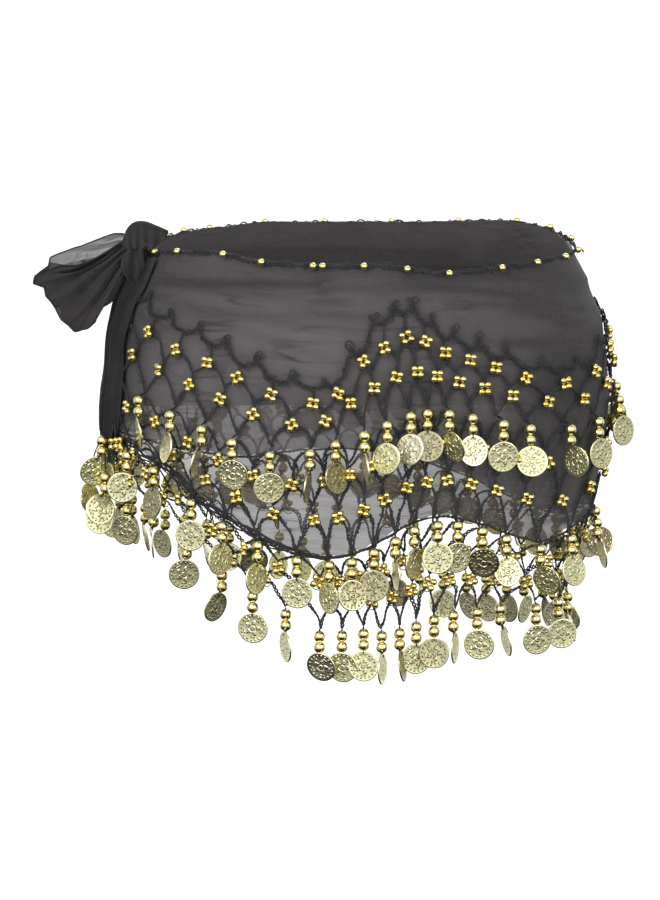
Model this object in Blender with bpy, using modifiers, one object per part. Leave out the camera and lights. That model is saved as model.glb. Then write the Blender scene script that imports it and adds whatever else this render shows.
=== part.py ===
"""Belly dance hip scarf, tied round hips that aren't there.

A sheer triangle of cloth wraps the hips, with its top edge turned in and crocheted along the rim.
Its two ends are tied at one side in a knot with a small loop, a wide bow wing and a hanging tail.
Crochet nets in scalloped waves lie on the cloth and hang below its hem, and each of their three
lower edges carries a row of beaded coins. Metres, +Z up, and the wearer faces -Y.
The origin is the middle of the waist opening.
"""

import bisect
import math

import bmesh
import bpy
from mathutils import Vector

MM = 0.001

CLOTH_WALL = 1.6 * MM
TURNED_WALL = 1.2 * MM
NET_WALL = 1.2 * MM
BOW_WALL = 1.4 * MM
LAYER_GAP = 0.75 * MM
SEAM_GAP = 0.4 * MM
EDGE_GAP = 0.6 * MM

NET_OUT = CLOTH_WALL / 2 + LAYER_GAP + NET_WALL / 2
TURNED_GAP = 1.1 * MM
TURNED_OUT = -(CLOTH_WALL + TURNED_WALL) / 2 - TURNED_GAP
TURNED_EDGE = -107 * MM

HALF_STATIONS = 36
ROUND_STATIONS = 2 * HALF_STATIONS
NET_STEPS = 3
STRAND = 2.3 * MM

STRIP_HIGH = 2.0 * MM
STRIP_DEEP = 1.6 * MM
ROOT_WIDE = 1.8 * MM
COIN_TURN = 24.0
COIN_HALF = 8.9 * MM
HANG_CLEAR = 4.4 * MM

CHAIN_RADIUS = 1.4 * MM
CHAIN_DROP = 1.8 * MM

# Half widths and half depths of the hips at each height, in millimetres.
FORM_COLUMNS = ("height", "half_width", "half_depth")
HIP_FORM = (
    (12, 134, 96),
    (-20, 141, 101),
    (-45, 151, 107),
    (-75, 158, 112),
    (-105, 161, 115),
    (-140, 161, 116),
    (-175, 156, 114),
    (-210, 146, 109),
    (-250, 136, 104),
    (-300, 133, 102),
)

# Heights of the rim, of the border's top and of the three coin lines, in millimetres, at each angle
# from the front, in degrees. The second coin line is also the hem of the cloth.
WAVE_COLUMNS = ("angle", "rim", "border", "line_1", "line_2", "line_3")
WAVES = (
    (-90, -10, -33, -84, -126, -162),
    (-75, -8, -35, -88, -130, -164),
    (-60, -6, -38, -96, -137, -168),
    (-50, -6, -48, -102, -144, -178),
    (-40, -6, -55, -110, -163, -202),
    (-30, -10, -65, -119, -177, -217),
    (-20, -12, -78, -128, -190, -230),
    (-12, -13, -86, -127, -196, -243),
    (-6, -13, -85, -121, -197, -244),
    (0, -13, -56, -115, -193, -242),
    (6, -13, -43, -108, -185, -244),
    (12, -15, -37, -102, -176, -241),
    (20, -18, -53, -102, -172, -234),
    (30, -17, -62, -108, -178, -231),
    (40, -15, -73, -113, -187, -230),
    (50, -13, -79, -115, -192, -232),
    (60, -11, -78, -115, -188, -232),
    (75, -9, -66, -110, -181, -232),
    (90, -5, -50, -95, -176, -232),
    (105, 1, -44, -98, -182, -231),
    (120, 6, -62, -110, -190, -232),
    (135, 8, -74, -114, -184, -233),
    (150, 7, -60, -104, -172, -234),
    (165, 6, -46, -98, -160, -229),
    (180, 6, -58, -104, -153, -220),
    (195, 6, -72, -110, -153, -211),
    (210, 6, -60, -102, -156, -203),
    (225, 3, -46, -94, -150, -195),
    (240, 1, -56, -96, -141, -186),
    (255, -4, -48, -90, -133, -174),
    (270, -10, -33, -84, -126, -162),
)

# Soft folds, each a ridge along a straight line on the unrolled hips: angles in degrees, the rest in
# millimetres. A negative rise is a trough.
FOLD_COLUMNS = ("angle_a", "height_a", "angle_b", "height_b", "rise", "half_width")
FOLDS = (
    (-88, -14, -38, -34, 2.2, 10),
    (-88, -24, -44, -72, 2.0, 12),
    (-84, -40, -56, -118, 1.8, 11),
    (268, -14, 222, -30, 2.2, 10),
    (268, -24, 228, -76, 2.0, 12),
    (-34, -140, -22, -200, 3.0, 13),
    (-6, -134, 0, -205, 2.8, 16),
    (8, -140, 14, -190, -3.0, 13),
    (34, -138, 44, -200, 3.2, 14),
    (62, -132, 70, -196, -2.6, 13),
    (112, -136, 120, -200, 3.4, 14),
    (140, -130, 150, -190, -2.8, 13),
    (176, -110, 184, -166, 3.0, 13),
    (206, -106, 212, -164, -2.4, 12),
    (238, -96, 244, -150, 2.6, 12),
)

# One pendant from its root down: two large beads and a coin. Drops are below the coin line.
PENDANT_COLUMNS = ("drop", "half_width", "depth", "turned")
PENDANT = (
    (5.2, 3.1, 5.4, 0),
    (8.3, 0.7, 1.1, 0),
    (11.8, 3.1, 5.4, 0),
    (15.4, 0.8, 1.2, 0.5),
    (19.8, 8.9, 1.6, 1),
    (30.2, 8.9, 1.6, 1),
    (34.8, 3.4, 1.4, 1),
)

KNOT_ANGLE = -78.0
KNOT_HEIGHT = -22 * MM
KNOT_SIZE = (10.0 * MM, 9.0 * MM, 12.0 * MM)
KNOT_SEGMENTS = 12
KNOT_RINGS = 8
KNOT_SEAT = 1.6 * MM

# The wing of the bow from the knot outwards: the two ends of each section across it and how far its
# two plies stand apart, in millimetres.
WING_COLUMNS = ("top_x", "top_z", "bottom_x", "bottom_z", "puff")
WING = (
    (-161.6, -12, -161.6, -31, 5),
    (-170, -4, -170, -46, 9),
    (-185, -6, -179, -58, 12),
    (-202, -14, -188, -62, 9),
)
WING_Y = -25 * MM
WING_ACROSS = 6
WING_BULGE = 12 * MM
WING_PLEAT = 2.2 * MM

LOOP_MIDDLE = (-147 * MM, -25.5 * MM, -1.8 * MM)
LOOP_RADII = (14.5 * MM, 8.0 * MM)
LOOP_WIDE = 13 * MM
LOOP_STEPS = 12
LOOP_OPEN = 62.0

# The gathered tail from the knot down, in millimetres; pleat is how far its folds swing in and out.
TAIL_COLUMNS = ("height", "outward", "half_width", "pleat")
TAIL = (
    (-34.2, 9.5, 5.5, 3.5),
    (-46, 10.5, 8.0, 5.0),
    (-66, 11.0, 9.5, 6.0),
    (-90, 11.5, 10.5, 6.5),
    (-112, 11.5, 11.5, 6.5),
    (-132, 12.0, 12.0, 6.5),
    (-148, 13.0, 12.0, 6.0),
)
TAIL_ANGLE = -76.0
TAIL_FOLDS = 6
TAIL_NET_HIGH = 16 * MM
TAIL_NET_HALF = 15 * MM
TAIL_NET_STATIONS = 6
TAIL_COINS = (1, 3, 5)

# Colour, roughness and metallic value of each finish.
FINISH_COLUMNS = ("colour", "roughness", "metallic")
FINISHES = {
    "sheer_cloth": ((0.045, 0.042, 0.044), 0.8, 0.0),
    "crochet_yarn": ((0.012, 0.012, 0.014), 0.7, 0.0),
    "gold_coins": ((0.62, 0.47, 0.18), 0.35, 1.0),
}


def column(columns, name):
    """The place of a named column."""
    return columns.index(name)


def smooth(table, columns, by, name, at):
    """A named column read from a table at any value of the column `by`, along a smooth curve."""
    key = column(columns, by)
    value = column(columns, name)
    rows = sorted(table, key=lambda row: row[key])
    keys = [row[key] for row in rows]
    at = min(max(at, keys[0]), keys[-1])
    right = min(max(bisect.bisect_right(keys, at), 1), len(rows) - 1)
    left = right - 1

    def slope(i):
        low, high = max(i - 1, 0), min(i + 1, len(rows) - 1)
        return (rows[high][value] - rows[low][value]) / (keys[high] - keys[low])

    span = keys[right] - keys[left]
    t = (at - keys[left]) / span
    start, end = rows[left][value], rows[right][value]
    return (
        start * (2 * t**3 - 3 * t**2 + 1)
        + end * (3 * t**2 - 2 * t**3)
        + slope(left) * span * (t**3 - 2 * t**2 + t)
        + slope(right) * span * (t**3 - t**2)
    )


def form(height, name):
    """A half size of the hips at a height, in metres."""
    return smooth(HIP_FORM, FORM_COLUMNS, "height", name, height / MM) * MM


def wave(angle, name):
    """The height of one of the wavy lines at an angle, in metres."""
    return smooth(WAVES, WAVE_COLUMNS, "angle", name, (angle + 90) % 360 - 90) * MM


def outward(angle):
    """The direction straight out of the hips at an angle."""
    a, b = form(TURNED_EDGE, "half_width"), form(TURNED_EDGE, "half_depth")
    turn = math.radians(angle)
    return Vector((b * math.sin(turn), -a * math.cos(turn), 0)).normalized()


def along(angle):
    """The level direction along the hips at an angle."""
    return Vector((0, 0, 1)).cross(outward(angle))


def fold_rise(angle, height):
    """How far the folds lift the cloth at a place."""
    middle_radius = (form(height, "half_width") + form(height, "half_depth")) / 2
    rise = 0.0
    for row in FOLDS:
        fold = dict(zip(FOLD_COLUMNS, row))
        ends = []
        for side in ("a", "b"):
            away = (fold["angle_" + side] - angle + 180) % 360 - 180
            ends.append(Vector((math.radians(away) * middle_radius, fold["height_" + side] * MM - height)))
        run = ends[1] - ends[0]
        part = -ends[0].dot(run) / run.length_squared
        nearest = ends[0] + run * min(max(part, 0), 1)
        rise += fold["rise"] * MM * math.exp(-((nearest.length / (fold["half_width"] * MM)) ** 2))
    return rise


def hip_point(angle, height, out=0.0):
    """A point on the worn cloth, `out` metres outside its middle."""
    turn = math.radians(angle)
    a, b = form(height, "half_width"), form(height, "half_depth")
    base = Vector((a * math.sin(turn), -b * math.cos(turn), height))
    return base + outward(angle) * (out + fold_rise(angle, height))


def station_angles():
    """The angles of stations evenly spaced round the hips, from the tied side through the front."""
    a, b = form(TURNED_EDGE, "half_width"), form(TURNED_EDGE, "half_depth")
    lengths = [0.0]
    for degree in range(-90, 270):
        turn = math.radians(degree + 0.5)
        step = math.radians(1) * math.hypot(a * math.cos(turn), b * math.sin(turn))
        lengths.append(lengths[-1] + step)
    angles = []
    for k in range(ROUND_STATIONS + 1):
        wanted = lengths[-1] * k / ROUND_STATIONS
        i = min(bisect.bisect_right(lengths, wanted), len(lengths) - 1) - 1
        angles.append(-90 + i + (wanted - lengths[i]) / (lengths[i + 1] - lengths[i]))
    return angles


STATIONS = station_angles()
HALVES = {"front": (0, HALF_STATIONS), "back": (HALF_STATIONS, ROUND_STATIONS)}


def angle_of(k, half):
    """The angle of a station, drawn in a little where a half ends at a seam."""
    first, last = HALVES[half]
    inset = math.degrees(SEAM_GAP / 2 / form(TURNED_EDGE, "half_depth"))
    if k == first:
        return STATIONS[k] + inset
    if k == last:
        return STATIONS[k] - inset
    return STATIONS[k]


def panel_heights(angle):
    """The heights of the rows of the cloth at an angle, from the rim to the hem.

    Where a net lies on the cloth, the rows are the steps of the net.
    """
    rim, border, line_1, line_2 = (wave(angle, name) for name in WAVE_COLUMNS[1:5])
    heights = [rim, (rim + border) / 2, border]
    for upper, lower in ((border, line_1), (line_1, line_2)):
        heights += [upper + (lower - upper) * step / NET_STEPS for step in range(1, NET_STEPS + 1)]
    return heights


def on_panel(angle, height, out):
    """A point over the cloth's own faces, read between its rows and moved out."""
    rows = panel_heights(angle)
    height = min(max(height, rows[-1]), rows[0])
    for upper, lower in zip(rows, rows[1:]):
        if height >= lower:
            break
    top, bottom = hip_point(angle, upper), hip_point(angle, lower)
    return bottom.lerp(top, (height - lower) / (upper - lower)) + outward(angle) * out


def part_object(name, bm, finish, collection, wall=None):
    """An object from a bmesh, with its finish and, where it is cloth, its wall."""
    mesh = bpy.data.meshes.new(name)
    bm.to_mesh(mesh)
    bm.free()
    mesh.materials.append(finish)
    obj = bpy.data.objects.new(name, mesh)
    collection.objects.link(obj)
    if wall:
        solid = obj.modifiers.new("wall", "SOLIDIFY")
        solid.thickness = wall
        solid.offset = 0
        solid.use_rim = True
    else:
        mesh.shade_smooth()
        mesh.set_sharp_from_angle(angle=math.radians(40))
    return obj


def sheet(name, rows, finish, collection, wall, net_from=None):
    """A cloth wall through rows of points. Below the row `net_from` its faces are cut corner to corner
    where the strands of a net run, so that the net lies flat on them."""
    bm = bmesh.new()
    grid = [[bm.verts.new(point) for point in row] for row in rows]
    for j, (upper, lower) in enumerate(zip(grid, grid[1:])):
        for i in range(len(upper) - 1):
            corners = (upper[i], lower[i], lower[i + 1], upper[i + 1])
            if net_from is None or j < net_from:
                bm.faces.new(corners)
                continue
            step = (j - net_from) % NET_STEPS
            if (step + i) % 2 == 0:
                bm.faces.new((corners[0], corners[1], corners[2]))
                bm.faces.new((corners[0], corners[2], corners[3]))
            else:
                bm.faces.new((corners[0], corners[1], corners[3]))
                bm.faces.new((corners[1], corners[2], corners[3]))
    bm.normal_update()
    bmesh.ops.recalc_face_normals(bm, faces=bm.faces)
    return part_object(name, bm, finish, collection, wall)


def net(name, place, first, last, steps, finish, collection):
    """A crochet net of diamond cells: `place` gives the point at a station and a step down."""
    bm = bmesh.new()
    knots = {}
    for step in range(steps + 1):
        for k in range(first, last + 1):
            if (step + k) % 2 == 0:
                knots[step, k] = bm.verts.new(place(k, step))
    cells = []
    for step, k in list(knots):
        corners = ((step, k), (step + 1, k - 1), (step + 2, k), (step + 1, k + 1))
        if all(corner in knots for corner in corners):
            cells.append(bm.faces.new([knots[corner] for corner in corners]))
    bm.normal_update()
    bmesh.ops.inset_individual(bm, faces=cells, thickness=STRAND / 2, use_even_offset=True)
    bmesh.ops.delete(bm, geom=cells, context="FACES")
    loose = [vert for vert in bm.verts if not vert.link_faces]
    bmesh.ops.delete(bm, geom=loose, context="VERTS")
    return part_object(name, bm, finish, collection, NET_WALL)


def coin_row(name, spots, finish, collection):
    """A narrow strip through spots, with a pendant of two beads and a coin below those that are hung.

    A spot is its point on the strip, the directions out of the cloth and along it, how far its pendant
    stands out and the turn of its coin. A spot with no pendant has no lean.
    """
    bm = bmesh.new()
    rings = []
    roots = []
    hung = [spot for spot in spots if spot[3] is not None]

    def ring(point, out):
        low = point - Vector((0, 0, STRIP_HIGH))
        corners = (point, low - out * STRIP_DEEP / 2, low + out * STRIP_DEEP / 2)
        rings.append([bm.verts.new(corner) for corner in corners])

    for point, out, side, lean, _ in spots:
        if lean is None:
            ring(point, out)
            continue
        ring(point - side * ROOT_WIDE / 2, out)
        roots.append(len(rings) - 1)
        ring(point + side * ROOT_WIDE / 2, out)
    bm.faces.new(rings[0])
    bm.faces.new(rings[-1])
    faces = []
    for i, (one, two) in enumerate(zip(rings, rings[1:])):
        bm.faces.new((one[0], two[0], two[1], one[1]))
        bm.faces.new((one[0], one[2], two[2], two[0]))
        if i in roots:
            faces.append(bm.faces.new((one[1], one[2], two[2])))
            bm.faces.new((one[1], two[2], two[1]))
        else:
            bm.faces.new((one[1], one[2], two[2], two[1]))
    for face, (point, out, side, lean, turn) in zip(faces, hung):
        for row in PENDANT:
            part = dict(zip(PENDANT_COLUMNS, row))
            face = bmesh.ops.extrude_discrete_faces(bm, faces=[face])["faces"][0]
            angle = math.radians(turn * part["turned"])
            across = side * math.cos(angle) + out * math.sin(angle)
            deep = out * math.cos(angle) - side * math.sin(angle)
            middle = point + out * lean - Vector((0, 0, part["drop"] * MM))
            inner, left, right = face.verts
            inner.co = middle - deep * part["depth"] * MM * 0.6
            left.co = middle + deep * part["depth"] * MM * 0.4 - across * part["half_width"] * MM
            right.co = middle + deep * part["depth"] * MM * 0.4 + across * part["half_width"] * MM
    bm.normal_update()
    bmesh.ops.recalc_face_normals(bm, faces=bm.faces)
    return part_object(name, bm, finish, collection)


def round_chain(name, half, skip, finish, collection):
    """The crocheted chain along the rim of one half, left out near the knot."""
    first, last = HALVES[half]
    stations = range(first + skip[0], last + 1 - skip[1])
    curve = bpy.data.curves.new(name, "CURVE")
    curve.dimensions = "3D"
    curve.bevel_depth = CHAIN_RADIUS
    curve.bevel_resolution = 0
    curve.use_fill_caps = True
    spline = curve.splines.new("POLY")
    spline.points.add(len(stations) - 1)
    out = CLOTH_WALL / 2 + LAYER_GAP + CHAIN_RADIUS
    for spot, k in zip(spline.points, stations):
        angle = angle_of(k, half)
        spot.co = (*on_panel(angle, wave(angle, "rim") - CHAIN_DROP, out), 1)
    curve.materials.append(finish)
    obj = bpy.data.objects.new(name, curve)
    collection.objects.link(obj)
    return obj


def cloth_half(half, finish, collection):
    """The sheer cloth of one half, from the rim to the hem."""
    first, last = HALVES[half]
    angles = [angle_of(k, half) for k in range(first, last + 1)]
    columns = [[hip_point(angle, height) for height in panel_heights(angle)] for angle in angles]
    sheet("chiffon_" + half, list(zip(*columns)), finish, collection, CLOTH_WALL, net_from=2)


def turned_half(half, finish, collection):
    """The ply turned in at the rim of one half, with its straight lower edge."""
    first, last = HALVES[half]
    columns = []
    for k in range(first, last + 1, 2):
        angle = angle_of(k, half)
        rim = wave(angle, "rim") - EDGE_GAP
        heights = [rim + (TURNED_EDGE - rim) * part / 3 for part in range(4)]
        columns.append([on_panel(angle, height, TURNED_OUT) for height in heights])
    sheet("turned_top_" + half, list(zip(*columns)), finish, collection, TURNED_WALL)


def net_half(name, half, upper, lower, over_cloth, finish, collection):
    """One net of one half, between two wavy lines given as a name and a drop."""
    first, last = HALVES[half]

    def place(k, step):
        angle = angle_of(k, half)
        top = wave(angle, upper[0]) - upper[1]
        bottom = wave(angle, lower[0]) - lower[1]
        height = top + (bottom - top) * step / NET_STEPS
        if over_cloth:
            return on_panel(angle, height, NET_OUT)
        return hip_point(angle, height)

    net(name, place, first, last, NET_STEPS, finish, collection)


def net_quarter(name, half, first, last, finish, collection):
    """The net below the hem over some stations of one half."""

    def place(k, step):
        angle = angle_of(k, half)
        inset = math.degrees(SEAM_GAP / 2 / form(TURNED_EDGE, "half_depth"))
        if k == first:
            angle += inset
        if k == last:
            angle -= inset
        top = wave(angle, "line_2") - STRIP_HIGH - 2 * EDGE_GAP
        bottom = wave(angle, "line_3") + EDGE_GAP / 2
        return hip_point(angle, top + (bottom - top) * step / NET_STEPS)

    net(name, place, first, last, NET_STEPS, finish, collection)


def lean_clear(angle, point, layers):
    """How far a pendant stands out from its strip to hang clear of what is below it."""
    out = outward(angle)
    per_degree = (hip_point(angle + 1, point.z) - hip_point(angle, point.z)).length
    lean = 0.0
    for row in PENDANT:
        low = point.z - row[column(PENDANT_COLUMNS, "drop")] * MM
        for aside in (-COIN_HALF, 0, COIN_HALF):
            near = hip_point(angle + aside / per_degree, low, layers)
            lean = max(lean, (near - point).dot(out))
    return lean + HANG_CLEAR


def coins_half(name, half, line, strip_out, layers, bare, finish, collection):
    """One row of coins of one half, hung from every second station but those left bare."""
    first, last = HALVES[half]
    hung = [k for k in range(first + 1, last, 2) if k not in bare]

    def spot(k):
        angle = angle_of(k, half)
        height = wave(angle, line) - EDGE_GAP
        if strip_out > 0:
            point = on_panel(angle, height, strip_out)
        else:
            point = hip_point(angle, height)
        turn = COIN_TURN * math.sin(2.4 * k)
        lean = None
        if k in hung:
            lean = 0.0 if layers is None else lean_clear(angle, point, layers)
        return (point, outward(angle), along(angle), lean, turn)

    stations = range(first, last + 1)
    if line == "line_3":
        stations = [k for k in stations if k in (*hung, first, last)]
    coin_row(name, [spot(k) for k in stations], finish, collection)


def knot(finish, collection):
    """The tied knot, a plump ball of cloth on the rim."""
    seat = CLOTH_WALL / 2 + KNOT_SEAT + KNOT_SIZE[1]
    bm = bmesh.new()
    bmesh.ops.create_uvsphere(bm, u_segments=KNOT_SEGMENTS, v_segments=KNOT_RINGS, radius=1)
    out, side = outward(KNOT_ANGLE), along(KNOT_ANGLE)
    middle = hip_point(KNOT_ANGLE, KNOT_HEIGHT) + out * seat
    for vert in bm.verts:
        x, y, z = vert.co
        groove = 1 - 0.12 * math.cos(3 * math.atan2(z, x)) ** 2
        vert.co = (
            middle
            + side * x * KNOT_SIZE[0] * groove
            + out * y * KNOT_SIZE[1]
            + Vector((0, 0, z * KNOT_SIZE[2] * groove))
        )
    bm.normal_update()
    bmesh.ops.recalc_face_normals(bm, faces=bm.faces)
    part_object("knot", bm, finish, collection)


def bow_wing(finish, collection):
    """The wide half bow: a pleated ply out from the knot, round its end and back behind."""
    sections = [dict(zip(WING_COLUMNS, row)) for row in WING]
    route = [(i, -1) for i in range(len(sections))]
    route += [(len(sections) - 1, 0)]
    route += [(i, 1) for i in reversed(range(len(sections)))]
    rows = []
    for i, ply in route:
        section = sections[i]
        reach = i / (len(sections) - 1)
        row = []
        for j in range(WING_ACROSS + 1):
            part = j / WING_ACROSS
            x = section["top_x"] + (section["bottom_x"] - section["top_x"]) * part
            z = section["top_z"] + (section["bottom_z"] - section["top_z"]) * part
            bulge = WING_BULGE * reach**3 * math.sin(math.pi * part)
            if ply == 0:
                bulge += section["puff"] * MM / 2
            pleat = WING_PLEAT * reach * (1 if j % 2 else -1)
            y = WING_Y + ply * section["puff"] * MM / 2 + pleat
            row.append(Vector((x * MM - bulge, y, z * MM)))
        rows.append(row)
    sheet("bow_wing", rows, finish, collection, BOW_WALL)


def bow_loop(finish, collection):
    """The small loop that stands over the knot, open underneath."""
    rows = []
    for i in range(LOOP_STEPS + 1):
        turn = math.radians(-LOOP_OPEN + (180 + 2 * LOOP_OPEN) * i / LOOP_STEPS)
        x = LOOP_MIDDLE[0] + LOOP_RADII[0] * math.cos(turn)
        z = LOOP_MIDDLE[2] + LOOP_RADII[1] * math.sin(turn)
        half = LOOP_WIDE / 2 * (0.6 + 0.4 * max(math.sin(turn), 0))
        rows.append([Vector((x, LOOP_MIDDLE[1] + side * half, z)) for side in (-1, 0, 1)])
    sheet("bow_loop", rows, finish, collection, BOW_WALL)


def tail_row(section, points):
    """Points across the gathered tail, which swings in and out in pleats."""
    out, side = outward(TAIL_ANGLE), along(TAIL_ANGLE)
    height = section["height"] * MM
    middle = hip_point(TAIL_ANGLE, height) + out * section["outward"] * MM
    row = []
    for j in range(points + 1):
        across = (2 * j / points - 1) * section["half_width"] * MM
        swing = section["pleat"] * MM * (1 if j % 2 else -1)
        row.append(middle + side * across + out * swing)
    return row


def hanging_tail(cloth, yarn, gold, collection):
    """The end of the scarf below the knot, with its own short net and coins."""
    sections = [dict(zip(TAIL_COLUMNS, row)) for row in TAIL]
    rows = [tail_row(section, TAIL_FOLDS) for section in sections]
    sheet("hanging_tail", rows, cloth, collection, BOW_WALL)
    out, side = outward(TAIL_ANGLE), along(TAIL_ANGLE)
    end = sections[-1]
    height = end["height"] * MM
    middle = hip_point(TAIL_ANGLE, height) + out * end["outward"] * MM

    def place(k, step):
        across = (2 * k / TAIL_NET_STATIONS - 1) * TAIL_NET_HALF
        drop = EDGE_GAP + TAIL_NET_HIGH * step / NET_STEPS
        return middle + side * across - Vector((0, 0, drop))

    net("tail_net", place, 0, TAIL_NET_STATIONS, NET_STEPS, yarn, collection)

    spots = []
    for k in (0.6, *TAIL_COINS, TAIL_NET_STATIONS - 0.6):
        point = place(k, NET_STEPS) - Vector((0, 0, EDGE_GAP))
        lean = 0.0 if k in TAIL_COINS else None
        spots.append((point, out, side, lean, COIN_TURN * math.sin(2.4 * k)))
    coin_row("tail_coins", spots, gold, collection)


def material(name):
    """One of the finishes."""
    finish = dict(zip(FINISH_COLUMNS, FINISHES[name]))
    made = bpy.data.materials.new(name)
    made.use_nodes = True
    shader = made.node_tree.nodes["Principled BSDF"]
    shader.inputs["Base Color"].default_value = (*finish["colour"], 1)
    shader.inputs["Roughness"].default_value = finish["roughness"]
    shader.inputs["Metallic"].default_value = finish["metallic"]
    made.diffuse_color = (*finish["colour"], 1)
    return made


def hip_scarf():
    """The whole scarf, each piece its own object."""
    collection = bpy.data.collections.new("belly_dance_hip_scarf")
    bpy.context.scene.collection.children.link(collection)
    cloth = material("sheer_cloth")
    yarn = material("crochet_yarn")
    gold = material("gold_coins")
    below_strip = STRIP_HIGH + 2 * EDGE_GAP
    hang_over = {"line_1": NET_OUT + NET_WALL / 2, "line_2": NET_WALL / 2, "line_3": None}
    strip_out = {"line_1": NET_OUT, "line_2": 0.0, "line_3": 0.0}
    under_tail = {"line_1": (1, 3), "line_2": (1, 3), "line_3": ()}
    for half, (first, last) in HALVES.items():
        cloth_half(half, cloth, collection)
        turned_half(half, cloth, collection)
        upper = (("border", 0), ("line_1", -EDGE_GAP / 2))
        lower = (("line_1", below_strip), ("line_2", -STRAND / 2))
        net_half("net_upper_" + half, half, *upper, True, yarn, collection)
        net_half("net_lower_" + half, half, *lower, True, yarn, collection)
        middle = first + HALF_STATIONS // 2
        for part, ends in (("a", (first, middle)), ("b", (middle, last))):
            net_quarter(f"net_hem_{half}_{part}", half, *ends, yarn, collection)
        for line, layers in hang_over.items():
            name = f"coin_row_{line[-1]}_{half}"
            out = strip_out[line]
            coins_half(name, half, line, out, layers, under_tail[line], gold, collection)
    round_chain("waist_chain_front", "front", (4, 0), yarn, collection)
    round_chain("waist_chain_back", "back", (0, 1), yarn, collection)
    knot(cloth, collection)
    bow_wing(cloth, collection)
    bow_loop(cloth, collection)
    hanging_tail(cloth, yarn, gold, collection)


for old in list(bpy.data.objects):
    bpy.data.objects.remove(old, do_unlink=True)
hip_scarf()
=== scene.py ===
"""Belly dance hip scarf: the looks.

A sheer black chiffon triangle worn round the hips and tied at one side, with scalloped crochet nets,
clusters of small gold beads and three rows of coins hung on beads. Metres, +Z up, and the wearer
faces -Y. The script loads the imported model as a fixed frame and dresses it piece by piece.
"""

import math

import bpy
import numpy as np
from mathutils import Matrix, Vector


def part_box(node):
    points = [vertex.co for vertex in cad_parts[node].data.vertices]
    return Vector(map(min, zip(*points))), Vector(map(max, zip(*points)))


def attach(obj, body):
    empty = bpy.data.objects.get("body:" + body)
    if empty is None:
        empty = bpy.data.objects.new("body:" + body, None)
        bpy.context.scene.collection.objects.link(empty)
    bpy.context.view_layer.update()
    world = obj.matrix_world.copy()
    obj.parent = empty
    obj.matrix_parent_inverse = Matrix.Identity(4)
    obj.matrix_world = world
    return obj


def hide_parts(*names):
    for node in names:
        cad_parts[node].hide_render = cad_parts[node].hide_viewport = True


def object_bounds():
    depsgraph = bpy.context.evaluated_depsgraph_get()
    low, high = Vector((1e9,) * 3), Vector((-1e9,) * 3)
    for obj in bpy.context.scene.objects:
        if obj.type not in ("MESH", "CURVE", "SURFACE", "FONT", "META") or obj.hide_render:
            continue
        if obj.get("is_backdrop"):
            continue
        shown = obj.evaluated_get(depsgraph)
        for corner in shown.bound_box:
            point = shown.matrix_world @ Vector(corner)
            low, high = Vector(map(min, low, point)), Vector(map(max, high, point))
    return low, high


bl_info = {
    "name": "Hip scarf with coins",
    "version": (1, 0, 0),
    "blender": (4, 5, 0),
    "location": "View3D > Sidebar > Hip scarf",
    "description": "Builds a sheer hip scarf with crochet nets, bead clusters and coin pendants",
    "category": "Object",
}

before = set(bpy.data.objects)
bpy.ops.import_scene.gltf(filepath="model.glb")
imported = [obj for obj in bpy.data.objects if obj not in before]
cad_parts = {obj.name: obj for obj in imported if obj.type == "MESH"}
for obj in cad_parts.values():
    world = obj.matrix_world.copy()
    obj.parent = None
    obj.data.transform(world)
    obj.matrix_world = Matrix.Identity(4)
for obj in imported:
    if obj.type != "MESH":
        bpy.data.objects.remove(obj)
CAD_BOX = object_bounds()

MM = 0.001
SEED = 11

# Half widths and half depths of the hips at each height, in millimetres.
FORM_COLUMNS = ("height", "half_width", "half_depth")
HIP_FORM = (
    (12, 134, 96),
    (-20, 141, 101),
    (-45, 151, 107),
    (-75, 158, 112),
    (-105, 161, 115),
    (-140, 161, 116),
    (-175, 156, 114),
    (-210, 146, 109),
    (-250, 136, 104),
    (-300, 133, 102),
)

# Heights of the rim, of the border's top and of the three coin lines, in millimetres, at each angle
# from the front, in degrees. The second coin line is also the hem of the cloth.
WAVE_COLUMNS = ("angle", "rim", "border", "line_1", "line_2", "line_3")
WAVES = (
    (-90, -10, -33, -84, -126, -162),
    (-75, -8, -35, -88, -130, -164),
    (-60, -6, -38, -96, -137, -168),
    (-50, -6, -48, -102, -144, -178),
    (-40, -6, -55, -110, -163, -202),
    (-30, -10, -65, -119, -177, -217),
    (-20, -12, -78, -128, -190, -230),
    (-12, -13, -86, -127, -196, -243),
    (-6, -13, -85, -121, -197, -244),
    (0, -13, -56, -115, -193, -242),
    (6, -13, -43, -108, -185, -244),
    (12, -15, -37, -102, -176, -241),
    (20, -18, -53, -102, -172, -234),
    (30, -17, -62, -108, -178, -231),
    (40, -15, -73, -113, -187, -230),
    (50, -13, -79, -115, -192, -232),
    (60, -11, -78, -115, -188, -232),
    (75, -9, -66, -110, -181, -232),
    (90, -5, -50, -95, -176, -232),
    (105, 1, -44, -98, -182, -231),
    (120, 6, -62, -110, -190, -232),
    (135, 8, -74, -114, -184, -233),
    (150, 7, -60, -104, -172, -234),
    (165, 6, -46, -98, -160, -229),
    (180, 6, -58, -104, -153, -220),
    (195, 6, -72, -110, -153, -211),
    (210, 6, -60, -102, -156, -203),
    (225, 3, -46, -94, -150, -195),
    (240, 1, -56, -96, -141, -186),
    (255, -4, -48, -90, -133, -174),
    (270, -10, -33, -84, -126, -162),
)

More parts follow.
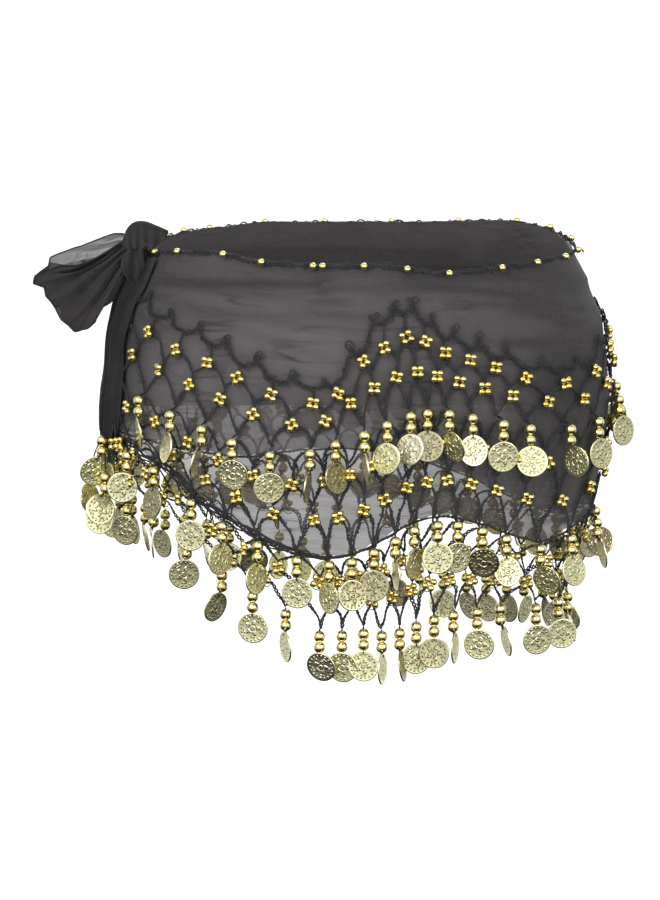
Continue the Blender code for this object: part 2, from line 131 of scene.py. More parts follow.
# Soft folds, each a ridge along a straight line on the unrolled hips: angles in degrees, the rest in
# millimetres. A negative rise is a trough.
FOLD_COLUMNS = ("angle_a", "height_a", "angle_b", "height_b", "rise", "half_width")
FOLDS = (
    (-88, -14, -38, -34, 2.2, 10),
    (-88, -24, -44, -72, 2.0, 12),
    (-84, -40, -56, -118, 1.8, 11),
    (268, -14, 222, -30, 2.2, 10),
    (268, -24, 228, -76, 2.0, 12),
    (89, -34, 89, -98, 3.2, 27),
    (92, -168, 92, -225, -6.0, 32),
    (-34, -140, -22, -200, 3.0, 13),
    (-6, -134, 0, -205, 2.8, 16),
    (8, -140, 14, -190, -3.0, 13),
    (34, -138, 44, -200, 3.2, 14),
    (62, -132, 70, -196, -2.6, 13),
    (112, -136, 120, -200, 3.4, 14),
    (140, -130, 150, -190, -2.8, 13),
    (176, -110, 184, -166, 3.0, 13),
    (206, -106, 212, -164, -2.4, 12),
    (238, -96, 244, -150, 2.6, 12),
)

# Fine creases pressed into the cloth, in the same terms. Most are drawn out from the knot.
CREASES = (
    (-84, -22, -8, -36, 0.9, 2.6),
    (-82, -30, 10, -58, 0.8, 3.2),
    (-60, -24, 30, -30, 0.8, 2.8),
    (-78, -46, -30, -66, 0.9, 3.0),
    (-20, -40, 52, -70, 0.7, 3.4),
    (4, -24, 66, -40, 0.8, 3.0),
    (36, -44, 86, -58, 0.8, 3.0),
    (-48, -40, -4, -74, 0.6, 3.0),
    (-30, -18, 40, -22, 0.6, 2.4),
    (60, -22, 104, -30, 0.7, 2.6),
    (96, -20, 170, -34, 0.8, 3.0),
    (120, -40, 190, -52, 0.7, 3.2),
    (262, -20, 190, -24, 0.9, 2.8),
    (262, -32, 200, -50, 0.8, 3.2),
    (258, -50, 214, -80, 0.9, 3.0),
    (150, -16, 236, -14, 0.7, 2.6),
    (-66, -116, -48, -140, 0.8, 3.0),
    (-28, -150, -34, -182, 0.9, 3.2),
    (18, -140, 24, -170, 0.8, 3.0),
    (50, -140, 58, -184, 0.9, 3.2),
    (82, -134, 80, -172, 0.8, 3.0),
    (100, -132, 104, -176, 0.9, 3.2),
    (130, -130, 126, -176, 0.8, 3.0),
    (164, -118, 160, -150, 0.8, 3.0),
)

# Angles of the pendants of the first row on the front, in degrees, and the number of even steps from
# the last of them round the back to the first.
FRONT_PENDANTS = (
    -85, -71, -57.5, -46, -36.5, -28.3, -19.8, -10.3, -4.8, 0.8, 5.5, 10.6, 15, 19.5, 25.4, 31.8, 40,
    53, 68, 83,
)
BACK_STEPS = 25

# The height where the directions out of the hips are taken, and the radius in metres that turns short
# lengths along the hips into angles.
DIRECTION_HEIGHT = -107 * MM
MEAN_RADIUS = 0.14

# The ply turned in at the rim: the height of its lower edge as seen, how far that edge drops toward
# the sides, and how far the ply lies inside the cloth.
TURNED_LINE = -101 * MM
TURNED_DROP = 11 * MM
TURNED_IN = 2.0 * MM

# The mesh of the cloth: degrees between its columns, its rows, its small random ripples, and how far
# its hem is drawn up between the coins.
CLOTH_STEP = 1.0
CLOTH_ROWS = 72
RIPPLES = 9
RIPPLE_RISE = 0.11 * MM
HEM_LIFT = 1.6 * MM

# The nets: the lines that each hangs between, the half station of its first knot, how far out it
# lies, how much of the way to the next row its arches dip, and how wide its chains and how thick their
# yarn are, in millimetres.
NET_COLUMNS = ("name", "upper", "lower", "first", "out", "dip", "wide", "thick")
NET_ROWS = (
    ("net_upper", "border", "line_1", 0, 2.0, 0.66, 1.1, 0.66),
    ("net_lower", "line_1", "line_2", 1, 2.0, 0.68, 1.15, 0.62),
    ("net_hem", "line_2", "line_3", 0, 0.4, 0.72, 1.1, 0.58),
)
NETS = [dict(zip(NET_COLUMNS, row)) for row in NET_ROWS]
NET_STEPS = 3
# How far below its line a net starts.
KNOT_DROP = 1.5 * MM

# The length of one stitch of a chain, and the mesh of the yarn: the length of its steps and its sides.
CHAIN_PITCH = 5.6 * MM
YARN_STEP = 1.0 * MM
YARN_SIDES = 4

# The small loops along the rim, from, to and every so many degrees, and the angle of its loose end.
RIM_LOOPS = (-76, 266, 5.2)
STUB_ANGLE = 88.0

# Places of the small beads on the chain along the rim, in degrees.
RIM_BEADS = (
    -79, -69, -56, -38, -26, -12, -9.5, 1, 12, 23, 39, 52, 68, 84, 98, 114, 130, 151, 171, 190, 208,
    227, 238, 247, 258,
)

# The outline of the bow's wing from its top, round its left end, to the tail, and the line that it
# is gathered along at the knot: x and height in millimetres.
WING_OUTLINE = (
    (-153, 3), (-160, 3), (-178, -3), (-190, -8), (-201, -12), (-202, -18), (-211, -24), (-212, -29),
    (-205, -32), (-204, -37), (-200, -41), (-194, -52), (-185, -60), (-177, -58), (-172, -54),
    (-169, -45), (-163, -42), (-155, -36),
)
WING_GATHER = ((-151, 0), (-146, -13))
WING_Y = -27 * MM

# The plies of the wing: name, finish, the shares of the outline where each starts and ends, how far it
# lies behind the middle one and how far its top sags, in millimetres, how dense it looks, and its flat
# size in metres.
WING_PLIES = (
    ("wing", "sheer_chiffon", 0.0, 1.0, 4.5, 0.0, 0.78, (0.075, 0.06)),
    ("wing_middle", "gathered_chiffon", 0.35, 1.0, 0.0, 7.0, 0.55, (0.065, 0.06)),
    ("wing_front", "gathered_chiffon", 0.38, 0.96, -4.5, 12.0, 0.45, (0.06, 0.06)),
)

# The loop over the knot along its run: its place, its top edge and how deep its band is.
LOOP_COLUMNS = ("run", "x", "top", "deep")
LOOP_BAND = (
    (0.0, -154, -2, 7),
    (0.15, -151, 6, 13),
    (0.35, -146, 10.5, 17),
    (0.6, -139, 11, 18),
    (0.8, -132, 8.5, 14),
    (1.0, -124, 5, 2.5),
)
LOOP_Y = -30 * MM

# The gathered tail from the knot down, in millimetres; pleat is how far its folds swing in and out.
TAIL_COLUMNS = ("height", "outward", "half_width", "pleat")
TAIL = (
    (-12, 3.0, 6.0, 5.0),
    (-26, 5.2, 9.0, 7.5),
    (-40, 6.0, 11.0, 7.6),
    (-61, 6.0, 12.0, 7.2),
    (-84, 5.6, 13.0, 6.4),
    (-100, 6.0, 13.0, 6.8),
    (-118, 6.5, 11.0, 6.5),
    (-134, 7.0, 8.0, 5.5),
)
# The coins of the tail: where each hangs from, in millimetres, and how far it is turned in degrees.
TAIL_COINS = (
    (-167.5, -38, -126, 14),
    (-174, -30, -144, -24),
    (-165, -42, -150, 8),
    (-166, -28, -158, 50),
)
# Where the tail hangs, and how far down it covers the clusters.
TAIL_ANGLE = -76.0
TAIL_COVERS_TO = -124 * MM

# The corner of the tail that spreads on to the hips: its top and its lowest height in millimetres, how
# wide it is, and the radius of the hips there.
FLAP_TOP = -26
FLAP_DEEP = -78
FLAP_WIDE = 19 * MM
FLAP_RADIUS = 0.12

# Where the knot is on the hips, how far it is moved from the middle of its solid, and its half sizes
# along the hips, out of them and up.
KNOT_ANGLE = -78.0
KNOT_SHIFT = (7 * MM, -3 * MM, 6 * MM)
KNOT_HALF_SIZES = (10.5 * MM, 8.4 * MM, 14.0 * MM)

# Segments round and rings down of the beads: in the clusters, on the rim and over the coins.
SMALL_BEAD_MESH = (10, 6)
RIM_BEAD_MESH = (14, 8)
LARGE_BEAD_MESH = (16, 10)

UP = np.array([0.0, 0.0, 1.0])
FOUR_CORNERS = ((-1, 1), (1, 1), (-1, -1), (1, -1))
# A whole turn in radians, which random phases are drawn from.
FULL_TURN = 6.28
HALVES = ("front", "back")

# What the settings of one kind in the sidebar have in common.
COLOUR = {"subtype": "COLOR", "size": 3, "min": 0, "max": 1}
LENGTH = {"subtype": "DISTANCE", "unit": "LENGTH"}


class ScarfColours(bpy.types.PropertyGroup):
    """Colours of the scarf's cloth, yarn and metal."""

    cloth: bpy.props.FloatVectorProperty(
        name="Chiffon", description="Colour of the sheer cloth", default=(0.062, 0.056, 0.057), **COLOUR
    )
    yarn: bpy.props.FloatVectorProperty(
        name="Yarn", description="Colour of the crochet yarn", default=(0.0075, 0.0075, 0.009), **COLOUR
    )
    bead: bpy.props.FloatVectorProperty(
        name="Beads", description="Colour of the gilt beads", default=(0.93, 0.82, 0.40), **COLOUR
    )
    coin: bpy.props.FloatVectorProperty(
        name="Coins", description="Colour of the stamped coins", default=(0.93, 0.85, 0.52), **COLOUR
    )
    sheerness: bpy.props.FloatProperty(
        name="Sheerness",
        description="How much one layer of the cloth covers what is behind it",
        subtype="FACTOR",
        min=0,
        max=1,
        default=0.72,
    )


class ScarfSizes(bpy.types.PropertyGroup):
    """Sizes of the scarf's beads and coins."""

    small_bead: bpy.props.FloatProperty(
        name="Small bead",
        description="Diameter of the beads in the clusters",
        default=4.5 * MM,
        **LENGTH,
    )
    rim_bead: bpy.props.FloatProperty(
        name="Rim bead",
        description="Diameter of the beads on the chain along the rim",
        default=4.6 * MM,
        **LENGTH,
    )
    large_bead: bpy.props.FloatProperty(
        name="Large bead",
        description="Diameter of the two beads over each coin",
        default=7.4 * MM,
        **LENGTH,
    )
    coin: bpy.props.FloatProperty(
        name="Coin", description="Diameter of a coin", default=19.8 * MM, **LENGTH
    )
    coin_turn: bpy.props.FloatProperty(
        name="Coin turn",
        description="How far the coins swing round on their threads",
        subtype="ANGLE",
        unit="ROTATION",
        default=math.radians(40),
    )


def stack(*parts):
    """Arrays of any shapes brought to one shape and laid side by side in a new last axis."""
    return np.stack(np.broadcast_arrays(*parts), -1)


def unit(ways):
    """Directions made one long."""
    return ways / np.linalg.norm(ways, axis=-1, keepdims=True)


def path_lengths(path):
    """The length of the way along a path of points to each of them."""
    return np.concatenate([[0], np.cumsum(np.linalg.norm(np.diff(path, axis=0), axis=1))])


def smooth(rows, columns, by, name, at):
    """A named column of a table read at any values of the column `by`, along a smooth curve."""
    rows = sorted(rows, key=lambda row: row[columns.index(by)])
    keys = np.array([row[columns.index(by)] for row in rows], float)
    values = np.array([row[columns.index(name)] for row in rows], float)
    slopes = np.empty_like(values)
    slopes[1:-1] = (values[2:] - values[:-2]) / (keys[2:] - keys[:-2])
    slopes[0] = (values[1] - values[0]) / (keys[1] - keys[0])
    slopes[-1] = (values[-1] - values[-2]) / (keys[-1] - keys[-2])
    at = np.clip(at, keys[0], keys[-1])
    left = np.clip(np.searchsorted(keys, at, side="right") - 1, 0, len(keys) - 2)
    span = keys[left + 1] - keys[left]
    t = (at - keys[left]) / span
    return (
        values[left] * (2 * t**3 - 3 * t**2 + 1)
        + values[left + 1] * (3 * t**2 - 2 * t**3)
        + slopes[left] * span * (t**3 - 2 * t**2 + t)
        + slopes[left + 1] * span * (t**3 - t**2)
    )


def form(height, name):
    """A half size of the hips at a height, in metres."""
    return smooth(HIP_FORM, FORM_COLUMNS, "height", name, np.asarray(height) / MM) * MM


def wave(angle, name):
    """The height of one of the wavy lines at an angle, in metres."""
    angle = (np.asarray(angle, float) + 90) % 360 - 90
    return smooth(WAVES, WAVE_COLUMNS, "angle", name, angle) * MM


def outward(angle):
    """The direction straight out of the hips at an angle."""
    a, b = form(DIRECTION_HEIGHT, "half_width"), form(DIRECTION_HEIGHT, "half_depth")
    turn = np.radians(np.asarray(angle, float))
    return unit(stack(b * np.sin(turn), -a * np.cos(turn), 0.0))


def along(angle):
    """The level direction along the hips at an angle."""
    out = outward(angle)
    return stack(-out[..., 1], out[..., 0], 0.0)


def ridges(table, angle, height, taper=False):
    """How far the folds of a table lift the cloth at each place."""
    angle, height = np.broadcast_arrays(np.asarray(angle, float), np.asarray(height, float))
    radius = (form(height, "half_width") + form(height, "half_depth")) / 2
    rise = np.zeros(angle.shape)
    for row in table:
        fold = dict(zip(FOLD_COLUMNS, row))
        ends = []
        for side in ("a", "b"):
            away = (fold["angle_" + side] - angle + 180) % 360 - 180
            ends.append((np.radians(away) * radius, fold["height_" + side] * MM - height))
        run = (ends[1][0] - ends[0][0], ends[1][1] - ends[0][1])
        part = -(ends[0][0] * run[0] + ends[0][1] * run[1]) / (run[0] ** 2 + run[1] ** 2)
        part = np.clip(part, 0, 1)
        away = np.hypot(ends[0][0] + run[0] * part, ends[0][1] + run[1] * part)
        lift = fold["rise"] * MM * np.exp(-((away / (fold["half_width"] * MM)) ** 2))
        rise += lift * np.sqrt(4 * part * (1 - part)) if taper else lift
    return rise


def hip_points(angle, height, out=0.0):
    """Points on the worn cloth, `out` metres outside its middle."""
    angle, height = np.broadcast_arrays(np.asarray(angle, float), np.asarray(height, float))
    turn = np.radians(angle)
    a, b = form(height, "half_width"), form(height, "half_depth")
    base = stack(a * np.sin(turn), -b * np.cos(turn), height)
    lift = out + ridges(FOLDS, angle, height)
    return base + outward(angle) * lift[..., None]


def angle_of(length, radius=MEAN_RADIUS):
    """A short length along the hips as an angle in degrees."""
    return np.degrees(length / radius)


def arc_lengths():
    """Whole degrees round the hips and the length of the way round to each."""
    a, b = form(DIRECTION_HEIGHT, "half_width"), form(DIRECTION_HEIGHT, "half_depth")
    degrees = np.arange(-90, 361)
    turn = np.radians(degrees[:-1] + 0.5)
    steps = math.radians(1) * np.hypot(a * np.cos(turn), b * np.sin(turn))
    return degrees, np.concatenate([[0], np.cumsum(steps)])


def pendant_angles():
    """The angles of the pendants of the first row all round."""
    degrees, lengths = arc_lengths()
    start = np.interp(FRONT_PENDANTS[-1], degrees, lengths)
    end = np.interp(FRONT_PENDANTS[0] + 360, degrees, lengths)
    wanted = start + (end - start) * np.arange(1, BACK_STEPS) / BACK_STEPS
    return np.concatenate([FRONT_PENDANTS, np.interp(wanted, lengths, degrees)])


PENDANTS = pendant_angles()
ROUND = len(PENDANTS)


def station(j):
    """The angle of half station j: pendants of the first row hang at the odd ones."""
    cell = (np.asarray(j, float) - 1) / 2
    low = np.floor(cell).astype(int)
    part = cell - low
    ends = [PENDANTS[i % ROUND] + 360 * (i // ROUND) for i in (low, low + 1)]
    return ends[0] * (1 - part) + ends[1] * part


# The slot of each finish that isn't cloth.
SLOTS = {"crochet_yarn": "crochet_yarn", "gilt_bead": "gold_coins", "stamped_coin": "gold_coins"}


class Piece:
    """The points, faces, map and tone, with its painted light and shade, of one piece while it is being
    made.
    """

    def __init__(self):
        self.points, self.faces, self.maps, self.tones, self.count = [], [], [], [], 0

    def add(self, points, faces, flat=None, tone=0.5, caps=None):
        """Adds points and the faces on them; flat gives each point's place on the flat pattern."""
        points = np.asarray(points, float).reshape(-1, 3)
        flat = np.zeros((len(points), 2)) if flat is None else np.asarray(flat).reshape(-1, 2)
        self.points.append(points)
        self.faces.append(faces + self.count)
        if caps is not None:
            self.faces.append(caps + self.count)
        self.maps.append(flat)
        self.tones.append(np.broadcast_to(np.asarray(tone, float).reshape(-1), (len(points),)))
        self.count += len(points)

    def build(self, name, look, replaces=()):
        """Makes the object, puts it on the frame and takes over the solids that it stands for."""
        faces = [face for part in self.faces for face in part.tolist()]
        points = np.concatenate(self.points)
        mesh = bpy.data.meshes.new(name)
        mesh.from_pydata(points.tolist(), [], faces)
        mesh.update()
        corners = np.empty(len(mesh.loops), np.int32)
        mesh.loops.foreach_get("vertex_index", corners)
        layer = mesh.uv_layers.new(name="flat_pattern")
        layer.data.foreach_set("uv", np.concatenate(self.maps)[corners].astype(np.float32).ravel())
        # The tone carries random tone and density, and also painted shade and painted highlights.
        tone = mesh.attributes.new("tone", "FLOAT", "POINT")
        tone.data.foreach_set("value", np.concatenate(self.tones).astype(np.float32))
        mesh.shade_smooth()
        mesh.materials.append(finish(look))
        obj = bpy.data.objects.new(name, mesh)
        bpy.context.scene.collection.objects.link(obj)
        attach(obj, "root")
        SLOTS.get(look, "sheer_cloth")
        if replaces:
            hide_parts(*replaces)
        return obj


def grid_faces(rows, columns, closed=False):
    """Four-sided faces of a grid of points, row after row."""
    i = np.arange(columns if closed else columns - 1)
    j = np.arange(rows - 1)[:, None]
    a = j * columns + i
    b = j * columns + (i + 1) % columns
    return np.stack([a, b, b + columns, a + columns], -1).reshape(-1, 4)


def cap_faces(rows, columns):
    """Triangles that close both ends of a closed grid, each to a point that follows the grid's own."""
    last = (rows - 1) * columns
    top = rows * columns
    faces = []
    for i in range(columns):
        after = (i + 1) % columns
        faces += [(top, after, i), (top + 1, last + i, last + after)]
    return np.array(faces)


def evenly(path, step):
    """A path of points resampled at even steps."""
    path = np.asarray(path, float)
    lengths = path_lengths(path)
    count = max(int(round(lengths[-1] / step)), 3)
    wanted = np.linspace(0, lengths[-1], count + 1)
    return np.stack([np.interp(wanted, lengths, path[:, i]) for i in range(3)], 1), wanted


def bend(points, count=12):
    """A smooth curve through the corner points of a Bezier curve of any degree."""
    t = np.linspace(0, 1, count)[:, None]
    points = [np.asarray(p, float) for p in points]
    while len(points) > 1:
        points = [p * (1 - t) + q * t for p, q in zip(points, points[1:])]
    return points[0]


def yarn_ways(path):
    """The directions out of and across a path of points that runs over the hips."""
    ahead = np.gradient(path, axis=0)
    ahead /= np.linalg.norm(ahead, axis=1, keepdims=True) + 1e-12
    out = unit(path * np.array([1.0, 1.9, 0.0]) + np.array([1e-6, 0, 0]))
    out -= ahead * (out * ahead).sum(1, keepdims=True)
    flat = np.linalg.norm(out, axis=1, keepdims=True)
    out = unit(np.where(flat > 0.2, out, np.cross(ahead, UP) + [1e-9, 0, 0]))
    return out, np.cross(ahead, out)


def yarn(piece, path, thick, step=YARN_STEP):
    """One strand of yarn of an even thickness along a path."""
    path, lengths = evenly(path, step)
    out, side = yarn_ways(path)
    turn = 2 * np.pi * np.arange(YARN_SIDES) / YARN_SIDES
    ends = np.minimum(1, np.minimum(lengths, lengths[-1] - lengths) / thick + 0.4)
    radius = thick * ends[:, None]
    ring = (
        path[:, None]
        + out[:, None] * (np.cos(turn) * radius)[..., None]
        + side[:, None] * (np.sin(turn) * radius)[..., None]
    )
    flat = stack(lengths[:, None], turn * thick)
    piece.add(ring, grid_faces(len(path), YARN_SIDES, closed=True), flat)


def chain(piece, path, wide, thick, phase=0.0, yarns=2, pitch=CHAIN_PITCH, slack=0.42):
    """A crocheted chain along a path: yarns that cross to and fro and leave small holes between."""
    path, lengths = evenly(path, YARN_STEP)
    out, side = yarn_ways(path)
    wobble = 0.4 * wide * np.sin(lengths / pitch * 2.3 + phase * 1.7)
    loose = 1 - slack + slack * np.sin(lengths / pitch * 1.3 + phase * 2.9)
    close = np.clip(np.minimum(lengths, lengths[-1] - lengths) / (2 * wide), 0.25, 1) * loose
    for n in range(yarns):
        swing = 2 * np.pi * (lengths / pitch + n / yarns) + phase
        across = wide * np.cos(swing) * close + wobble
        over = 0.45 * wide * np.sin(2 * swing if yarns > 2 else swing) * close
        yarn(piece, path + side * across[:, None] + out * over[:, None], thick)


def curls(piece, path, size, thick, every, rng):
    """Small loops of yarn that stand out to either side of a chain."""
    path, lengths = evenly(path, YARN_STEP)
    out, side = yarn_ways(path)
    turn = np.linspace(0, 1.8 * np.pi, 9)[:, None]
    for place in np.arange(every / 2, lengths[-1], every):
        n = int(np.searchsorted(lengths, place))
        wide = size * rng.uniform(0.7, 1.35)
        way = side[n] * rng.choice([-1, 1]) * rng.uniform(0.5, 1) + out[n] * rng.uniform(0, 0.6)
        ahead = np.cross(out[n], side[n])
        loop = path[n] + way * (1 - np.cos(turn)) * wide + ahead * np.sin(turn) * wide * 0.8
        yarn(piece, loop, thick)


def round_ways(rise, turn):
    """Directions all round, from their angles down from the top and about it."""
    return stack(np.sin(rise) * np.cos(turn), np.sin(rise) * np.sin(turn), np.cos(rise))


def ball(segments, rings):
    """Points, faces and end caps of a round bead of radius 1, a little open at its hole."""
    hole = 0.16
    dimple = 0.86
    rise = np.linspace(hole, np.pi - hole, rings + 1)[:, None]
    turn = 2 * np.pi * np.arange(segments) / segments
    points = round_ways(rise, turn).reshape(-1, 3)
    points = np.concatenate([points, [dimple * UP, -dimple * UP]])
    return points, grid_faces(rings + 1, segments, closed=True), cap_faces(rings + 1, segments)


def add_beads(piece, centres, radius, mesh, axis, tones):
    """Copies of a bead at each centre, its hole along the axis."""
    points, faces, caps = ball(*mesh)
    for n, centre in enumerate(centres):
        up = unit(np.asarray(axis[n] if np.ndim(axis) > 1 else axis, float))
        side = unit(np.cross(up, [0.3, 0.9, 0.2]))
        shaped = points @ np.stack([side, np.cross(up, side), up])
        piece.add(centre + shaped * radius, faces, shaped[:, :2], tones[n], caps)


# Rings of a coin from its middle to its edge: the share of its radius and its height over the
# middle plane, in millimetres.
COIN_RINGS = ((0.0, 0.46), (0.45, 0.46), (0.86, 0.44), (0.91, 0.54), (0.97, 0.54), (1.0, 0.40))
COIN_SEGMENTS = 30


def coin_shape():
    """Points, faces and end caps of a coin of radius 1 that faces +Y, in radii and millimetres."""
    turn = 2 * np.pi * np.arange(COIN_SEGMENTS) / COIN_SEGMENTS
    rings = [*COIN_RINGS[1:], *((share, -height) for share, height in reversed(COIN_RINGS[1:]))]
    points = [(share * np.cos(t), height, share * np.sin(t)) for share, height in rings for t in turn]
    middle = COIN_RINGS[0][1]
    points = np.array([*points, (0, middle, 0), (0, -middle, 0)])
    grid = (len(rings), COIN_SEGMENTS)
    return points, grid_faces(*grid, closed=True), cap_faces(*grid)


def link_or_set(tree, value, socket):
    """Links a socket to the next one, or sets it to a number or a colour."""
    if isinstance(value, bpy.types.NodeSocket):
        tree.links.new(value, socket)
    else:
        socket.default_value = value


def math_step(tree, operation, *values):
    """A Math node of a shader tree; numbers are set and sockets are linked."""
    node = tree.nodes.new("ShaderNodeMath")
    node.operation = operation
    for socket, value in zip(node.inputs, values):
        link_or_set(tree, value, socket)
    return node.outputs[0]


def times(tree, first, second):
    """One value of a shader tree times another."""
    return math_step(tree, "MULTIPLY", first, second)


def plus(tree, first, second):
    """One value of a shader tree plus another."""
    return math_step(tree, "ADD", first, second)


def away_from(tree, value, middle):
    """How far a value of a shader tree is from a number."""
    return math_step(tree, "ABSOLUTE", math_step(tree, "SUBTRACT", value, middle))


def blend_step(tree, factor, first, second):
    """A colour mix of two colours or sockets."""
    node = tree.nodes.new("ShaderNodeMix")
    node.data_type = "RGBA"
    for place, value in ((0, factor), (6, first), (7, second)):
        link_or_set(tree, value, node.inputs[place])
    return node.outputs[2]


def noise_step(tree, vector, scale, detail=2.0, rough=0.5):
    """A noise texture read at a vector."""
    node = tree.nodes.new("ShaderNodeTexNoise")
    link_or_set(tree, scale, node.inputs["Scale"])
    node.inputs["Detail"].default_value = detail
    node.inputs["Roughness"].default_value = rough
    tree.links.new(vector, node.inputs["Vector"])
    return node.outputs["Fac"]


def stretch_step(tree, vector, scale, turn=0.0):
    """A vector stretched and turned about Z."""
    node = tree.nodes.new("ShaderNodeMapping")
    node.inputs["Rotation"].default_value = (0, 0, turn)
    node.inputs["Scale"].default_value = scale
    tree.links.new(vector, node.inputs["Vector"])
    return node.outputs["Vector"]


def split_step(tree, vector):
    """The three parts of a vector."""
    node = tree.nodes.new("ShaderNodeSeparateXYZ")
    tree.links.new(vector, node.inputs[0])
    return node.outputs


def range_step(tree, value, low, high, to_low=0.0, to_high=1.0):
    """A value mapped from one range to another, and held there."""
    node = tree.nodes.new("ShaderNodeMapRange")
    tree.links.new(value, node.inputs["Value"])
    for socket, number in zip(list(node.inputs)[1:5], (low, high, to_low, to_high)):
        socket.default_value = number
    return node.outputs["Result"]


def node_group(name, inputs, outputs):
    """A shader node group: each input's name and default, None for a vector, and its float outputs."""
    group = bpy.data.node_groups.new(name, "ShaderNodeTree")
    for label, default in inputs:
        kind = "NodeSocketVector" if default is None else "NodeSocketFloat"
        socket = group.interface.new_socket(name=label, in_out="INPUT", socket_type=kind)
        if default is not None:
            socket.default_value = default
    for label in outputs:
        group.interface.new_socket(name=label, in_out="OUTPUT", socket_type="NodeSocketFloat")
    start = group.nodes.new("NodeGroupInput")
    end = group.nodes.new("NodeGroupOutput")
    return group, start.outputs, end.inputs


def made_once(maker):
    """Gives a maker of a node group the group's name, and keeps a group that is there already."""
    name = maker.__name__

    def once():
        """The node group, made if need be."""
        return bpy.data.node_groups.get(name) or maker(name)

    return once


@made_once
def thread_weave(name):
    """Woven threads on the flat pattern: a height for bump and a mask of the gaps between threads."""
    group, given, result = node_group(name, [("Pattern", None), ("Pitch", 0.0008)], ["Height", "Gaps"])
    apart = split_step(group, given["Pattern"])
    threads = []
    for axis in (0, 1):
        turns = math_step(group, "DIVIDE", apart[axis], given["Pitch"])
        swing = math_step(group, "SINE", times(group, turns, 2 * math.pi))
        threads.append(range_step(group, swing, -1.0, 1.0))
    uneven = noise_step(group, given["Pattern"], 420.0)
    height = math_step(group, "MAXIMUM", *threads)
    group.links.new(times(group, height, uneven), result["Height"])
    group.links.new(times(group, *threads), result["Gaps"])
    return group


@made_once
def soft_dust(name):
    """Slow uneven tone over a surface, as handling and light wear leave."""
    group, given, result = node_group(name, [("Place", None), ("Scale", 40.0)], ["Tone", "Fine"])
    for socket, share in (("Tone", 1.0), ("Fine", 9.0)):
        noise = noise_step(group, given["Place"], times(group, given["Scale"], share), 3.0)
        group.links.new(noise, result[socket])
    return group


@made_once
def crease_lines(name):
    """Thin pressed creases that run mostly level over the flat pattern, as a mask for painted shade and
    denser cover.
    """
    group, given, result = node_group(name, [("Pattern", None)], ["Lines"])
    masks = []
    for turn, scale in ((0.16, (9.0, 62.0, 1.0)), (-0.22, (14.0, 80.0, 1.0))):
        waves = noise_step(group, stretch_step(group, given["Pattern"], scale, turn), 1.0, 2.0, 0.45)
        masks.append(range_step(group, away_from(group, waves, 0.5), 0.0, 0.03, 1.0, 0.0))
    patches = noise_step(group, given["Pattern"], 22.0, 1.0)
    lines = math_step(group, "MAXIMUM", masks[0], times(group, masks[1], 0.6))
    group.links.new(times(group, lines, range_step(group, patches, 0.4, 0.65)), result["Lines"])
    return group


@made_once
def coin_relief(name):
    """Stamped relief of a coin: a ring of dots and a five-petalled rosette in broken arcs."""
    group, given, result = node_group(name, [("Pattern", None), ("Petals", 5.0)], ["Height", "Hollows"])
    x, y, _ = split_step(group, given["Pattern"])
    radius = math_step(group, "SQRT", plus(group, times(group, x, x), times(group, y, y)))
    turn = math_step(group, "ARCTAN2", y, x)
    petal_turn = times(group, turn, given["Petals"])
    dots = range_step(group, math_step(group, "COSINE", times(group, turn, 18.0)), 0.0, 0.8)
    dots = times(group, dots, range_step(group, away_from(group, radius, 0.78), 0.03, 0.08, 1.0, 0.0))
    edge = plus(group, times(group, math_step(group, "COSINE", petal_turn), 0.13), 0.42)
    petal = range_step(group, math_step(group, "SUBTRACT", edge, radius), 0.0, 0.10)
    heart = range_step(group, away_from(group, radius, 0.2), 0.03, 0.09)
    arcs = range_step(group, math_step(group, "SINE", petal_turn), 0.1, 0.5)
    arcs = times(group, arcs, range_step(group, away_from(group, radius, 0.60), 0.03, 0.07, 0.9, 0.0))
    flower = math_step(group, "MAXIMUM", times(group, petal, heart), arcs)
    worn = range_step(group, noise_step(group, given["Pattern"], 5.0, 3.0), 0.3, 0.6, 0.55, 1.0)
    height = times(group, math_step(group, "MAXIMUM", dots, flower), worn)
    group.links.new(height, result["Height"])
    field = range_step(group, radius, 0.80, 0.84, 1.0, 0.0)
    group.links.new(times(group, math_step(group, "SUBTRACT", 1.0, height), field), result["Hollows"])
    return group


def new_material(name, colour, roughness, metallic=0.0):
    """A material with its shader's fixed values set."""
    material = bpy.data.materials.new(name)
    material.use_nodes = True
    shader = material.node_tree.nodes["Principled BSDF"]
    shader.inputs["Base Color"].default_value = (*colour, 1)
    shader.inputs["Roughness"].default_value = roughness
    shader.inputs["Metallic"].default_value = metallic
    material.diffuse_color = (*colour, 1)
    return material, material.node_tree, shader


def place_group(tree, group, **values):
    """A node group in a material, its named inputs set or linked."""
    node = tree.nodes.new("ShaderNodeGroup")
    node.node_tree = group
    for name, value in values.items():
        link_or_set(tree, value, node.inputs[name])
    return node.outputs


def bump_to(tree, shader, height, strength, distance):
    """A bump from a height to the shader's normal."""
    bump = tree.nodes.new("ShaderNodeBump")
    bump.inputs["Strength"].default_value = strength
    bump.inputs["Distance"].default_value = distance
    tree.links.new(height, bump.inputs["Height"])
    tree.links.new(bump.outputs["Normal"], shader.inputs["Normal"])


def shade(colour, factor):
    """A colour made darker or lighter."""
    return (*(min(c * factor, 1.0) for c in colour), 1.0)


def soft_surface(shader, sheen, specular):
    """The fixed values of a fibre's shader."""
    shader.inputs["Sheen Weight"].default_value = sheen
    shader.inputs["Sheen Roughness"].default_value = 0.5
    shader.inputs["Specular IOR Level"].default_value = specular


def coordinates(tree):
    """The flat pattern, the place on the object and the tone, with its painted light and shade, stored
    on the points.
    """
    source = tree.nodes.new("ShaderNodeTexCoord")
    tone = tree.nodes.new("ShaderNodeAttribute")
    tone.attribute_name = "tone"
    return source.outputs["UV"], source.outputs["Object"], tone.outputs["Fac"]


